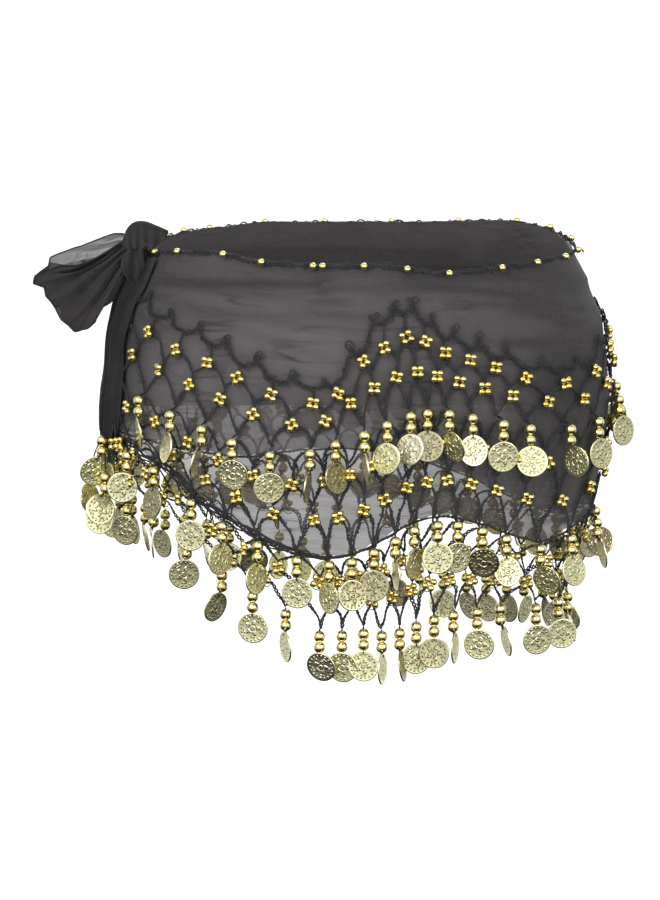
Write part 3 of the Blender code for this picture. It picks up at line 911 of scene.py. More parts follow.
def sheer_chiffon(name, cover, depth):
    """Crinkled sheer cloth: painted darker where it is creased (painted shade), and thinner where it is
    drawn tight.
    """
    base = shade(bpy.context.scene.scarf_colours.cloth, depth)[:3]
    material, tree, shader = new_material(name, base, 0.85)
    pattern, place, tone = coordinates(tree)
    weave = place_group(tree, thread_weave(), Pattern=pattern, Pitch=0.0011)
    dust = place_group(tree, soft_dust(), Place=place, Scale=30.0)
    streaks = noise_step(tree, stretch_step(tree, pattern, (8.0, 60.0, 1.0)), 3.0, 4.0, 0.6)
    # Painted shade and light: the denser tone paints the cloth darker, the thinner tone paints it
    # lighter.
    colour = blend_step(tree, tone, shade(base, 1.7), shade(base, 0.36))
    lines = place_group(tree, crease_lines(), Pattern=pattern)["Lines"]
    # Painted shade in the creases: the crease lines are painted darker and made denser.
    colour = blend_step(tree, times(tree, lines, 0.8), colour, shade(base, 0.35))
    # Painted highlight: the crowns of the woven threads are painted lighter.
    colour = blend_step(tree, times(tree, weave["Height"], 0.25), colour, shade(base, 2.0))
    tree.links.new(colour, shader.inputs["Base Color"])
    alpha = range_step(tree, tone, 0.0, 1.0, cover - 0.10, min(cover + 0.20, 1.0))
    for change in (
        range_step(tree, streaks, 0.3, 0.7, -0.045, 0.045),
        times(tree, weave["Gaps"], -0.07),
        range_step(tree, dust["Tone"], 0.3, 0.7, 0.0, 0.05),
        times(tree, lines, 0.08),
    ):
        alpha = plus(tree, alpha, change)
    tree.links.new(alpha, shader.inputs["Alpha"])
    soft_surface(shader, 0.08, 0.15)
    height = plus(tree, weave["Height"], times(tree, dust["Fine"], 1.6))
    bump_to(tree, shader, height, 0.35, 0.0004)
    return material


def crochet_yarn(name):
    """Twisted black yarn with a little lint, and painted shade between its plies."""
    base = bpy.context.scene.scarf_colours.yarn
    material, tree, shader = new_material(name, base, 0.75)
    pattern, place, _ = coordinates(tree)
    plies = place_group(tree, thread_weave(), Pattern=pattern, Pitch=0.0012)
    dust = place_group(tree, soft_dust(), Place=place, Scale=160.0)
    # Painted shade and highlight: the yarn is painted darker in the grooves between its plies and
    # lighter on their crowns.
    colour = blend_step(tree, plies["Height"], shade(base, 0.6), shade(base, 1.7))
    lint = range_step(tree, dust["Fine"], 0.62, 0.72)
    colour = blend_step(tree, lint, colour, shade(base, 4.0))
    tree.links.new(colour, shader.inputs["Base Color"])
    soft_surface(shader, 0.02, 0.12)
    bump_to(tree, shader, plies["Height"], 0.6, 0.0005)
    return material


def gilt_bead(name):
    """Bright gilt plastic: yellow gold with small dents and a duller tone in places."""
    base = bpy.context.scene.scarf_colours.bead
    material, tree, shader = new_material(name, base, 0.16, 1.0)
    _, place, tone = coordinates(tree)
    dust = place_group(tree, soft_dust(), Place=place, Scale=220.0)
    deep = (*(c * share for c, share in zip(base, (0.86, 0.74, 0.32))), 1.0)
    colour = blend_step(tree, tone, deep, shade(base, 1.1))
    dull = range_step(tree, dust["Tone"], 0.35, 0.75)
    colour = blend_step(tree, dull, colour, shade(base, 0.82))
    tree.links.new(colour, shader.inputs["Base Color"])
    tree.links.new(range_step(tree, dust["Tone"], 0.3, 0.7, 0.12, 0.26), shader.inputs["Roughness"])
    bump_to(tree, shader, dust["Fine"], 0.12, 0.0003)
    return material


def stamped_coin(name):
    """Thin stamped brass with relief, darker in the hollows; the brightest coins are painted near white
    as a painted highlight.
    """
    base = bpy.context.scene.scarf_colours.coin
    material, tree, shader = new_material(name, base, 0.3, 1.0)
    pattern, place, tone = coordinates(tree)
    relief = place_group(tree, coin_relief(), Pattern=pattern, Petals=5.0)
    dust = place_group(tree, soft_dust(), Place=place, Scale=120.0)
    colour = blend_step(tree, tone, shade(base, 0.42), shade(base, 1.15))
    # Painted highlight: coins with the highest tone are mixed toward near white.
    colour = blend_step(tree, range_step(tree, tone, 0.86, 1.0), colour, (1.0, 0.95, 0.70, 1.0))
    colour = blend_step(tree, times(tree, relief["Hollows"], 0.22), colour, shade(base, 0.45))
    tree.links.new(colour, shader.inputs["Base Color"])
    rough = range_step(tree, dust["Tone"], 0.3, 0.7, 0.2, 0.34)
    rough = plus(tree, rough, times(tree, relief["Hollows"], 0.12))
    tree.links.new(rough, shader.inputs["Roughness"])
    height = plus(tree, relief["Height"], times(tree, dust["Fine"], 0.06))
    bump_to(tree, shader, height, 1.0, 0.0006)
    return material


# How much more than one layer each cloth covers, and how deep its colour is.
CLOTHS = {"sheer_chiffon": (0.0, 1.0), "turned_chiffon": (0.30, 1.0), "gathered_chiffon": (0.30, 0.3)}


def finish(name):
    """One of the scarf's finishes, made once."""
    if name in bpy.data.materials:
        return bpy.data.materials[name]
    if name in CLOTHS:
        more, depth = CLOTHS[name]
        return sheer_chiffon(name, bpy.context.scene.scarf_colours.sheerness + more, depth)
    makers = {"crochet_yarn": crochet_yarn, "gilt_bead": gilt_bead, "stamped_coin": stamped_coin}
    return makers[name](name)


# Where the cloth is made thinner and painted lighter (below 0), or denser and painted darker as painted
# shade: angle and height of the middle, reach in degrees and in metres, and how much.
CLOTH_COVER_AND_SHADE = (
    (-16, -0.062, 42, 0.055, -0.36),
    (-74, -0.090, 13, 0.06, 0.6),
    (-48, -0.10, 18, 0.05, -0.34),
    (62, -0.055, 26, 0.05, 0.28),
    (80, -0.105, 25, 0.05, 0.95),
    (10, -0.022, 95, 0.016, 0.30),
    (64, -0.155, 44, 0.04, 0.5),
    (125, -0.150, 40, 0.05, 0.6),
    (57, -0.096, 14, 0.022, 0.4),
    (180, -0.030, 90, 0.06, 0.46),
)


def tone_of(angle, height, crease, fold):
    """How dense and how dark the cloth is made, from 0 to 1: denser with painted shade in creases, and
    thinner and lighter where it is drawn tight.
    """
    tone = 0.46 + 0.34 * crease / MM + 0.10 * fold / MM
    for middle, level, reach, high, change in CLOTH_COVER_AND_SHADE:
        away = (angle - middle + 180) % 360 - 180
        tone = tone + change * np.exp(-((away / reach) ** 2) - ((height - level) / high) ** 2)
    return np.clip(tone, 0, 1)


def cloth_tube(name, top, bottom, out, cloth):
    """One layer of cloth all round, between two lines of heights."""
    angles = np.arange(-90, 270, CLOTH_STEP)
    share = np.linspace(0, 1, CLOTH_ROWS)[:, None]
    heights = top(angles) * (1 - share) + bottom(angles) * share
    crease = ridges(CREASES, angles, heights, taper=True)
    rng = np.random.default_rng(SEED)
    ripple = np.zeros(heights.shape)
    for _ in range(RIPPLES):
        turns, rows, start = rng.integers(7, 26), rng.uniform(-60, 60), rng.uniform(0, FULL_TURN)
        ripple += np.sin(np.radians(angles) * turns + heights * rows * 3 + start)
    ripple *= RIPPLE_RISE * np.clip(0.3 + share * 1.6, 0, 1)
    points = hip_points(angles, heights) + outward(angles) * (out + crease + ripple)[..., None]
    pattern = stack(np.interp(angles, *arc_lengths()), heights)
    # Painted shade: the tone darkens the cloth in its creases and in the darker zones of the table.
    tone = tone_of(angles, heights, crease, ripple).ravel()
    piece = Piece()
    piece.add(points, grid_faces(CLOTH_ROWS, len(angles), closed=True), pattern, tone)
    obj = piece.build(name, cloth, [f"{name}_{half}" for half in HALVES])


def rim(angles):
    """The rim of the scarf."""
    return wave(angles, "rim")


def hem(angles):
    """The hem of the cloth, drawn up a little between its coins."""
    cell = np.interp(angles, PENDANTS, np.arange(ROUND), period=360)
    return wave(angles, "line_2") + np.abs(np.sin(np.pi * cell)) * HEM_LIFT


def turned_rim(angles):
    """The top of the ply turned in at the rim."""
    return rim(angles) - 0.6 * MM


def turned_edge(angles):
    """The lower edge of the turned ply, level as seen from the front."""
    return TURNED_LINE - TURNED_DROP * (1 - np.abs(np.cos(np.radians(angles))))


class SCARF_OT_chiffon(bpy.types.Operator):
    """Build the sheer cloth round the hips and the ply turned in at its top"""

    bl_idname = "scarf.chiffon"
    bl_label = "Chiffon"

    def execute(self, context):
        cloth_tube("chiffon", rim, hem, 0.0, "sheer_chiffon")
        cloth_tube("turned_top", turned_rim, turned_edge, -TURNED_IN, "turned_chiffon")
        return {"FINISHED"}


def knot_place(net, step, j):
    """The angle and height of a knot of a net: its row and half station."""
    angle = station(j)
    upper, lower = wave(angle, net["upper"]), wave(angle, net["lower"])
    if net["name"] != "net_upper":
        upper = upper - KNOT_DROP
    return angle, upper + (lower - upper) * step / NET_STEPS


def knots_of(net, step):
    """The half stations of the knots in a row of a net."""
    return range((net["first"] + step) % 2, 2 * ROUND, 2)


class SCARF_OT_crochet(bpy.types.Operator):
    """Build the scalloped crochet nets, their looped border and the bundle along the hem"""

    bl_idname = "scarf.crochet"
    bl_label = "Crochet nets"

    def execute(self, context):
        rng = np.random.default_rng(SEED + 1)
        for net in NETS:
            self.build_net(net, rng)
        self.build_border(rng)
        self.build_hem(rng)
        return {"FINISHED"}

    def build_net(self, net, rng):
        """The arches of a net, row by row: the first row of the upper net is the border."""
        piece = Piece()
        name, hangs_free = net["name"], net["name"] == "net_hem"
        wide, thick, out = (net[size] * MM for size in ("wide", "thick", "out"))
        run = np.linspace(0, 1, 9)
        for step in range(1 if name == "net_upper" else 0, NET_STEPS):
            last = step == NET_STEPS - 1
            for j in knots_of(net, step):
                ends = [knot_place(net, step, j), knot_place(net, step, j + 2)]
                low = knot_place(net, step + 1, j + 1)
                dip = 1.0 if last else net["dip"] * rng.uniform(0.85, 1.12)
                middle = (ends[0][1] + ends[1][1]) / 2
                bottom = middle + (low[1] - middle) * dip
                bottom_angle = low[0] + rng.uniform(-0.7, 0.7) * (not last)
                round_top = rng.uniform(1.5, 2.4)
                lift = out + rng.uniform(0, 0.5) * MM
                for end in ends:
                    angles = end[0] + (bottom_angle - end[0]) * run
                    angles = angles + rng.uniform(-0.9, 0.9) * np.sin(np.pi * run)
                    heights = end[1] - KNOT_DROP + (bottom - end[1] + KNOT_DROP) * run**round_top
                    path = hip_points(angles, heights, lift)
                    chain(piece, path, wide * rng.uniform(0.5, 1.2), thick, rng.uniform(0, FULL_TURN))
                    if not hangs_free:
                        curls(piece, path, 0.85 * MM, 0.40 * MM, 5.2 * MM, rng)
                if not last:
                    self.join_down(piece, (bottom_angle, bottom), low, lift, thick)
                if hangs_free and step > 0 or rng.random() < 0.3:
                    self.add_smile(piece, ends[0], lift, rng)
        parts = ("_a", "_b") if hangs_free else ("",)
        nodes = [f"{name}_{half}{part}" for half in HALVES for part in parts]
        piece.build(name, "crochet_yarn", nodes)

    def join_down(self, piece, start, end, lift, thick):
        """Two single threads from the point of an arch down to the cluster under it."""
        run = np.linspace(0, 1, 5)
        for aside in (-0.5, 0.5):
            angles = start[0] + (end[0] + aside - start[0]) * run
            heights = start[1] + (end[1] - start[1]) * run
            yarn(piece, hip_points(angles, heights, lift), 0.8 * thick)

    def add_smile(self, piece, place, lift, rng):
        """The slack loop of single thread that shows under some clusters."""
        run = np.linspace(-1, 1, 9)
        wide = rng.uniform(1.2, 1.9)
        sag = rng.uniform(1.0, 2.6) * MM
        heights = place[1] - 3.2 * MM - sag * (1 - run**2)
        yarn(piece, hip_points(place[0] + wide * run, heights, lift + 0.6 * MM), 0.3 * MM)

    def build_border(self, rng):
        """The chain that steps along the top of the nets, with joins down to them and picots."""
        piece = Piece()
        run = np.linspace(0, 1, 16)
        falling = 1 - (1 - run) ** 2.4
        turn = np.linspace(-0.4 * np.pi, 1.4 * np.pi, 14)
        for j in range(0, 2 * ROUND, 2):
            angle, after = station(j), station(j + 2)
            height, after_height = wave(angle, "border"), wave(after, "border")
            dip = 4.4 * MM * rng.uniform(0.7, 1.3)
            angles = angle + (after - angle) * run
            step_down = falling if after_height < height else 1 - falling[::-1]
            heights = height + (after_height - height) * step_down - dip * np.sin(np.pi * run) ** 0.7
            path = hip_points(angles, heights, 2.4 * MM)
            phase = rng.uniform(0, FULL_TURN)
            chain(piece, path, 1.35 * MM, 0.38 * MM, phase, pitch=4.8 * MM, slack=0.12)
            curls(piece, path, 1.25 * MM, 0.42 * MM, 2.1 * MM, rng)
            _, low = knot_place(NETS[0], 1, j + 1)
            drop = np.linspace(heights[8], low, 6)
            fall = hip_points(station(j + 1), drop, 2.1 * MM)
            chain(piece, fall, 0.8 * MM, 0.46 * MM, rng.uniform(0, FULL_TURN))
            for size in (1.0, 0.75, 0.5):
                wide = 1.9 * size * rng.uniform(0.7, 1.3)
                high = 2.6 * size * rng.uniform(0.85, 1.25)
                lean = rng.uniform(-1.2, 1.2)
                side = angle_of((wide * np.cos(turn) + lean * (1 + np.sin(turn))) * MM)
                rise = (high + high * np.sin(turn) - 1.0) * MM
                loop = hip_points(angle + side, height + rise, (2.0 + size) * MM)
                phase = rng.uniform(0, FULL_TURN)
                chain(piece, loop, 0.45 * MM, 0.42 * MM, phase, pitch=2.8 * MM)
        piece.build("border", "crochet_yarn")

    def build_hem(self, rng):
        """Strands along the hem of the cloth: a tangled bundle near the tied side, few elsewhere."""
        piece = Piece()
        for strand in range(9):
            angles = np.arange(-90, 270, 0.9) if strand < 2 else np.arange(-92, 24 - 5 * strand, 0.9)
            swing = np.zeros(len(angles))
            for turns in rng.integers(9, 60, 4):
                swing += np.sin(np.radians(angles) * turns + rng.uniform(0, FULL_TURN)) / 3
            heavy = np.clip((46 - np.abs(angles + 44)) / 30, 0, 1)
            drop = (0.35 + 1.5 * heavy) * swing + (strand - 4) * 0.75 * heavy
            out = 0.9 + 0.7 * np.cos(np.radians(angles) * 31 + strand)
            path = hip_points(angles, wave(angles, "line_2") + drop * MM, out * MM)
            if strand < 2:
                path = np.concatenate([path, path[:1]])
            if strand % 3 == 0:
                chain(piece, path, 0.8 * MM, 0.42 * MM, strand)
            else:
                yarn(piece, path, 0.5 * MM)
        piece.build("hem_bundle", "crochet_yarn")


class SCARF_OT_rim_chains(bpy.types.Operator):
    """Build the beaded chain along the rim"""

    bl_idname = "scarf.rim_chains"
    bl_label = "Rim chains"

    def execute(self, context):
        rng = np.random.default_rng(SEED + 2)
        crochet, gold = Piece(), Piece()
        angles = np.arange(-78, 268, 1.5)
        path = hip_points(angles, rim(angles) - 1.6 * MM, 1.7 * MM)
        chain(crochet, path, 1.4 * MM, 0.38 * MM, yarns=3, pitch=5.6 * MM, slack=0.45)
        curls(crochet, path, 0.95 * MM, 0.36 * MM, 2.3 * MM, rng)
        stub = hip_points(STUB_ANGLE, rim(STUB_ANGLE) - 1 * MM, 1.5 * MM)
        ends = [stub, stub + outward(STUB_ANGLE) * 5 * MM, stub + np.array([6, 0, -4]) * MM]
        chain(crochet, bend(ends), 0.6 * MM, 0.42 * MM)
        turn = np.linspace(-0.3 * np.pi, 1.3 * np.pi, 10)
        for angle in np.arange(*RIM_LOOPS):
            angle = angle + rng.uniform(-1.6, 1.6)
            wide = angle_of(2.8 * MM * rng.uniform(0.7, 1.4))
            high = rng.uniform(0.9, 2.3) * MM
            heights = rim(angle) - 1.2 * MM + high * np.sin(turn)
            yarn(crochet, hip_points(angle + wide * np.cos(turn), heights, 2.4 * MM), 0.48 * MM)
        crochet.build("rim_chain", "crochet_yarn", [f"waist_chain_{half}" for half in HALVES])
        size = context.scene.scarf_sizes.rim_bead / 2
        spots = np.array(RIM_BEADS, float)
        lift = np.where(np.cos(np.radians(spots)) < 0, 0.2, -1.4) * MM
        centres = hip_points(spots, rim(spots) + lift, 3.8 * MM)
        add_beads(gold, centres, size, RIM_BEAD_MESH, along(spots), rng.uniform(0.2, 0.9, len(spots)))
        gold.build("rim_beads", "gilt_bead")
        return {"FINISHED"}


class SCARF_OT_clusters(bpy.types.Operator):
    """Build the clusters of four small beads at the knots of the nets"""

    bl_idname = "scarf.clusters"
    bl_label = "Bead clusters"

    def execute(self, context):
        rng = np.random.default_rng(SEED + 3)
        radius = context.scene.scarf_sizes.small_bead / 2
        for net in NETS:
            piece = Piece()
            for step in range(1, NET_STEPS):
                for j in knots_of(net, step):
                    angle, height = knot_place(net, step, j)
                    under_tail = abs((angle - TAIL_ANGLE + 183) % 360 - 180) < 11
                    if under_tail and height > TAIL_COVERS_TO:
                        continue
                    self.add_cluster(piece, angle, height, net["out"] * MM, radius, rng)
            piece.build(net["name"].replace("net", "clusters"), "gilt_bead")
        return {"FINISHED"}

    def add_cluster(self, piece, angle, height, out, radius, rng):
        """Four beads in a square, turned a little."""
        turn = rng.uniform(-0.55, 0.55)
        yaw = rng.normal(0, 0.5)
        across = along(angle) * math.cos(yaw) + outward(angle) * abs(math.sin(yaw)) * 0.5
        middle = hip_points(angle, height + 0.6 * MM, out + radius + 0.8 * MM)
        spread = radius * rng.uniform(0.88, 1.0)
        centres = []
        for a, b in FOUR_CORNERS:
            x = a * math.cos(turn) - b * math.sin(turn)
            z = a * math.sin(turn) + b * math.cos(turn)
            centres.append(middle + (across * x + UP * z) * spread)
        add_beads(piece, centres, radius, SMALL_BEAD_MESH, along(angle), rng.uniform(0.0, 0.45, 4))


# The rows of coins: their numbers, the half station of the first coin, and how far out from the cloth's
# middle each hangs, in millimetres, with how far a pendant stands clear of the net below it.
COIN_ROWS = ((1, 1, 1.7), (2, 0, 1.2), (3, 1, 0.0))
CLEAR_OF_NET = 3.9 * MM
# Every other pendant stands this much further out, so that coins can overlap.
STAGGER = 1.9 * MM
# First-row pendants this close to the tail, in degrees to either side of it, would hang under it.
BESIDE_TAIL = (-20, 6)
# Shares of the coins that hang edge on and that are painted dark, a painted shade in place of dark
# reflections.
EDGE_ON_SHARE = 0.12
PAINTED_DARK_SHARE = 0.12

# One pendant from its root down, in millimetres: the middles of its two beads and of its coin.
PENDANT_DROPS = (4.8, 11.8, 25.0)
# How thick its thread is and how long the steps of its mesh, where the coin's hole is, as a share of
# the coin's radius, and how far the thread lies from the coin's middle plane on either side.
THREAD_THICK = 0.62 * MM
THREAD_STEP = 1.6 * MM
COIN_HOLE = 0.76
THREAD_OUT = 0.95 * MM


def hang_pendant(threads, gold, coins, root, out, side, lean, turn, tilt, tone, sizes):
    """A pendant of two beads and a coin, hung straight down from a root."""
    bead, coin = sizes.large_bead / 2, sizes.coin / 2
    down = -UP
    middle = root + out * lean
    spots = [middle + down * drop * MM for drop in PENDANT_DROPS[:2]]
    add_beads(gold, spots, bead, LARGE_BEAD_MESH, down, [0.6 + 0.4 * tone, 0.55 + 0.4 * tone])
    across = side * math.cos(turn) + out * math.sin(turn)
    deep = out * math.cos(turn) - side * math.sin(turn)
    below = down * math.cos(tilt) + deep * math.sin(tilt)
    deep = deep * math.cos(tilt) - down * math.sin(tilt)
    away = 0.45 * coin * abs(math.sin(turn))
    top = middle + down * (PENDANT_DROPS[2] * MM - coin)
    centre = top + below * coin + out * away
    path = [root, middle + down * MM, spots[0], spots[1], (spots[1] + top) / 2]
    for face in (-1, 1):
        hole = centre - below * coin * COIN_HOLE + deep * face * THREAD_OUT
        yarn(threads, [*path, hole], THREAD_THICK, step=THREAD_STEP)
    points, faces, caps = coin_shape()
    x, y, z = points[:, :1] * coin, points[:, 1:2] * MM, points[:, 2:] * coin
    coins.add(centre + (across * x + deep * y + below * z), faces, points[:, [0, 2]], tone, caps)


class SCARF_OT_pendants(bpy.types.Operator):
    """Build the three rows of coins hung on beads"""

    bl_idname = "scarf.pendants"
    bl_label = "Coin rows"

    def execute(self, context):
        rng = np.random.default_rng(SEED + 4)
        sizes = context.scene.scarf_sizes
        for number, first, layers in COIN_ROWS:
            layers = layers * MM
            threads, gold, coins = Piece(), Piece(), Piece()
            for i in range(ROUND):
                beside = (PENDANTS[i] - TAIL_ANGLE + 180) % 360 - 180
                if number == 1 and BESIDE_TAIL[0] < beside < BESIDE_TAIL[1]:
                    continue
                angle = station(2 * i + first) + rng.uniform(-0.4, 0.4)
                out, side = outward(angle), along(angle)
                root = hip_points(angle, wave(angle, f"line_{number}"), layers)
                turn = sizes.coin_turn * rng.normal(0, 0.95)
                if rng.random() < EDGE_ON_SHARE:
                    turn = rng.choice([-1, 1]) * math.radians(rng.uniform(68, 84))
                lean = self.lean_clear(angle, root, out, layers) + (i % 2) * STAGGER
                tilt, tone = math.radians(rng.normal(0, 8.5)), rng.uniform(0.55, 1)
                # Painted shade: a share of the coins is painted dark, standing in for dark reflections.
                if rng.random() < PAINTED_DARK_SHARE:
                    tone = 0.05
                hang_pendant(threads, gold, coins, root, out, side, lean, turn, tilt, tone, sizes)
            nodes = [f"coin_row_{number}_{half}" for half in HALVES]
            coins.build(f"coins_{number}", "stamped_coin", nodes)
            gold.build(f"pendant_beads_{number}", "gilt_bead")
            threads.build(f"pendant_threads_{number}", "crochet_yarn")
        return {"FINISHED"}

    def lean_clear(self, angle, root, out, layers):
        """How far a pendant stands out from its root to hang clear of the layers below it, if any."""
        if not layers:
            return 0.0
        lean = 0.0
        for drop in (4, 12, 18, 26, 34):
            for aside in (-3, 0, 3):
                near = hip_points(angle + aside, root[2] - drop * MM, layers)
                lean = max(lean, float((near - root) @ out))
        return lean + CLEAR_OF_NET


def pleated(t, folds, seed):
    """Uneven pleats across a gathered cloth, from -1 to 1 at places t from 0 to 1."""
    rng = np.random.default_rng(seed)
    knots = np.linspace(0, 1, folds + 1)
    knots[1:-1] += rng.uniform(-0.3, 0.3, folds - 1) / folds
    phase = np.interp(t, knots, np.arange(folds + 1))
    deep = np.interp(t, knots, rng.uniform(0.55, 1.0, folds + 1))
    return np.cos(np.pi * phase) * deep


class SCARF_OT_bow(bpy.types.Operator):
    """Build the knot, the wing of the bow and the small loop over it"""

    bl_idname = "scarf.bow"
    bl_label = "Knot and bow"

    def execute(self, context):
        self.build_knot()
        self.build_wing()
        self.build_loop()
        return {"FINISHED"}

    def build_knot(self):
        """A plump knot of gathered cloth with a band wound across it."""
        out, side = outward(KNOT_ANGLE), along(KNOT_ANGLE)
        low, high = (np.array(corner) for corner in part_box("knot"))
        middle = (low + high) / 2 + np.array(KNOT_SHIFT)
        rows, columns = 40, 64
        rise = np.linspace(0.02, np.pi - 0.02, rows)[:, None]
        turn = 2 * np.pi * np.arange(columns) / columns
        groove = 0.10 * np.cos(5 * turn + 1.2 * np.cos(rise)) + 0.05 * np.cos(11 * turn + 2 * rise)
        radius = 1 + groove * np.sin(rise)
        band = 0.16 * np.exp(-((((np.cos(rise) + 0.35 * np.sin(rise) * np.cos(turn)) / 0.34)) ** 4))
        radius = (radius + band)[..., None] * np.array(KNOT_HALF_SIZES)
        points = middle + (round_ways(rise, turn) * radius) @ np.stack([side, out, UP])
        piece = Piece()
        pattern = stack(turn * 9 * MM, rise * 11 * MM)
        # Painted shade: the tone rises in the knot's grooves, so they are painted darker.
        tone = np.clip(0.8 - 4 * groove, 0.4, 1)
        piece.add(points, grid_faces(rows, columns, closed=True), pattern, tone.ravel())
        piece.build("scarf_knot", "gathered_chiffon", ("knot",))

    def build_wing(self):
        """The wide half bow: pleated plies fanned out from the knot, the back one wider."""
        outline = np.array(WING_OUTLINE, float) * MM
        lengths = path_lengths(outline)
        gather = np.array(WING_GATHER, float) * MM
        count, steps = 120, 40
        t = np.linspace(0, 1, count)
        share = np.linspace(0.0, 1, steps)[:, None]
        fade = np.clip(1.25 - share, 0.3, 1)
        belly = np.sin(np.pi * share)
        edges = Piece()
        for n, (name, cloth, start, end, depth, sag, dense, flat) in enumerate(WING_PLIES):
            place = (start + (end - start) * t) * lengths[-1]
            ends = np.stack([np.interp(place, lengths, outline[:, i]) for i in (0, 1)], -1)
            roots = gather[0] + (gather[1] - gather[0]) * t[:, None]
            fold = pleated(t + 0.03 * np.sin(share * 4 + n), 8 + n, SEED + 20 + n)
            fine = pleated(t, 23, SEED + 40 + n)
            deep = (0.8 + 5.4 * share**0.7) * fade * MM
            y = WING_Y + depth * belly**0.7 * MM + (fold + 0.3 * fine * fade) * deep
            sway = 1.6 * MM * np.sin(share * 5 + 9 * t + n) * belly
            x = roots[:, 0] + (ends[:, 0] - roots[:, 0]) * share + 0.5 * sway
            z = roots[:, 1] + (ends[:, 1] - roots[:, 1]) * share + sway
            z = z - sag * MM * belly * np.exp(-t / 0.16) - 0.5 * MM * share**2 * (1 - fold)
            points = stack(x, y, z)
            pattern = stack(t * 0.12, share * 0.06)
            window = np.exp(-(((t - 0.72) / 0.09) ** 2) - ((share - 0.85) / 0.22) ** 2)
            # Painted shade on the pleats: the folds that lie further back are painted darker, the
            # nearer ones lighter.
            tone = dense + (0.26 * fold + 0.14 * fine) * fade + 0.6 * (share > 0.975) - 0.6 * window
            piece = Piece()
            piece.add(points, grid_faces(steps, count), pattern, np.clip(tone, 0, 1).ravel())
            obj = piece.build(name, cloth, ("bow_wing",) if name == "wing" else ())
            yarn(edges, points[-1], 0.5 * MM)
            yarn(edges, points[:, 0], 0.5 * MM)
        fringe = points[-1][-26:-4]
        chain(edges, fringe, 1.2 * MM, 0.4 * MM, yarns=3, pitch=3.6 * MM)
        edges.build("wing_edges", "gathered_chiffon")

    def build_loop(self):
        """The small loop that stands over the knot: a doubled band with a little light under it."""
        run = np.linspace(0, 1, 60)
        x, top, deep = (
            smooth(LOOP_BAND, LOOP_COLUMNS, "run", name, run) * MM for name in LOOP_COLUMNS[1:]
        )
        down = np.concatenate([np.linspace(1, 0, 12), np.linspace(0, 1, 12)[1:]])[:, None]
        face = np.concatenate([-np.ones(12), np.ones(11)])[:, None]
        pucker = 0.7 * MM * np.sin(run * 34 + face) * down
        y = LOOP_Y + face * 6.0 * MM * np.sqrt(down) * np.sin(np.pi * run) ** 0.5 + pucker
        z = top - deep * down * np.where(face > 0, 0.8, 1.0) + 0.3 * pucker
        pattern = stack(run * 0.04, face * down * 0.01)
        # Painted shade: the puckers that lie further back are painted darker, and the folded edges are
        # made darker and denser.
        tone = np.clip(0.55 + 0.4 * np.sin(run * 34 + face) * down + 0.4 * (down > 0.95), 0, 1)
        piece = Piece()
        piece.add(stack(x, y, z), grid_faces(len(down), len(run)), pattern, tone.ravel())
        obj = piece.build("loop", "gathered_chiffon", ("bow_loop",))


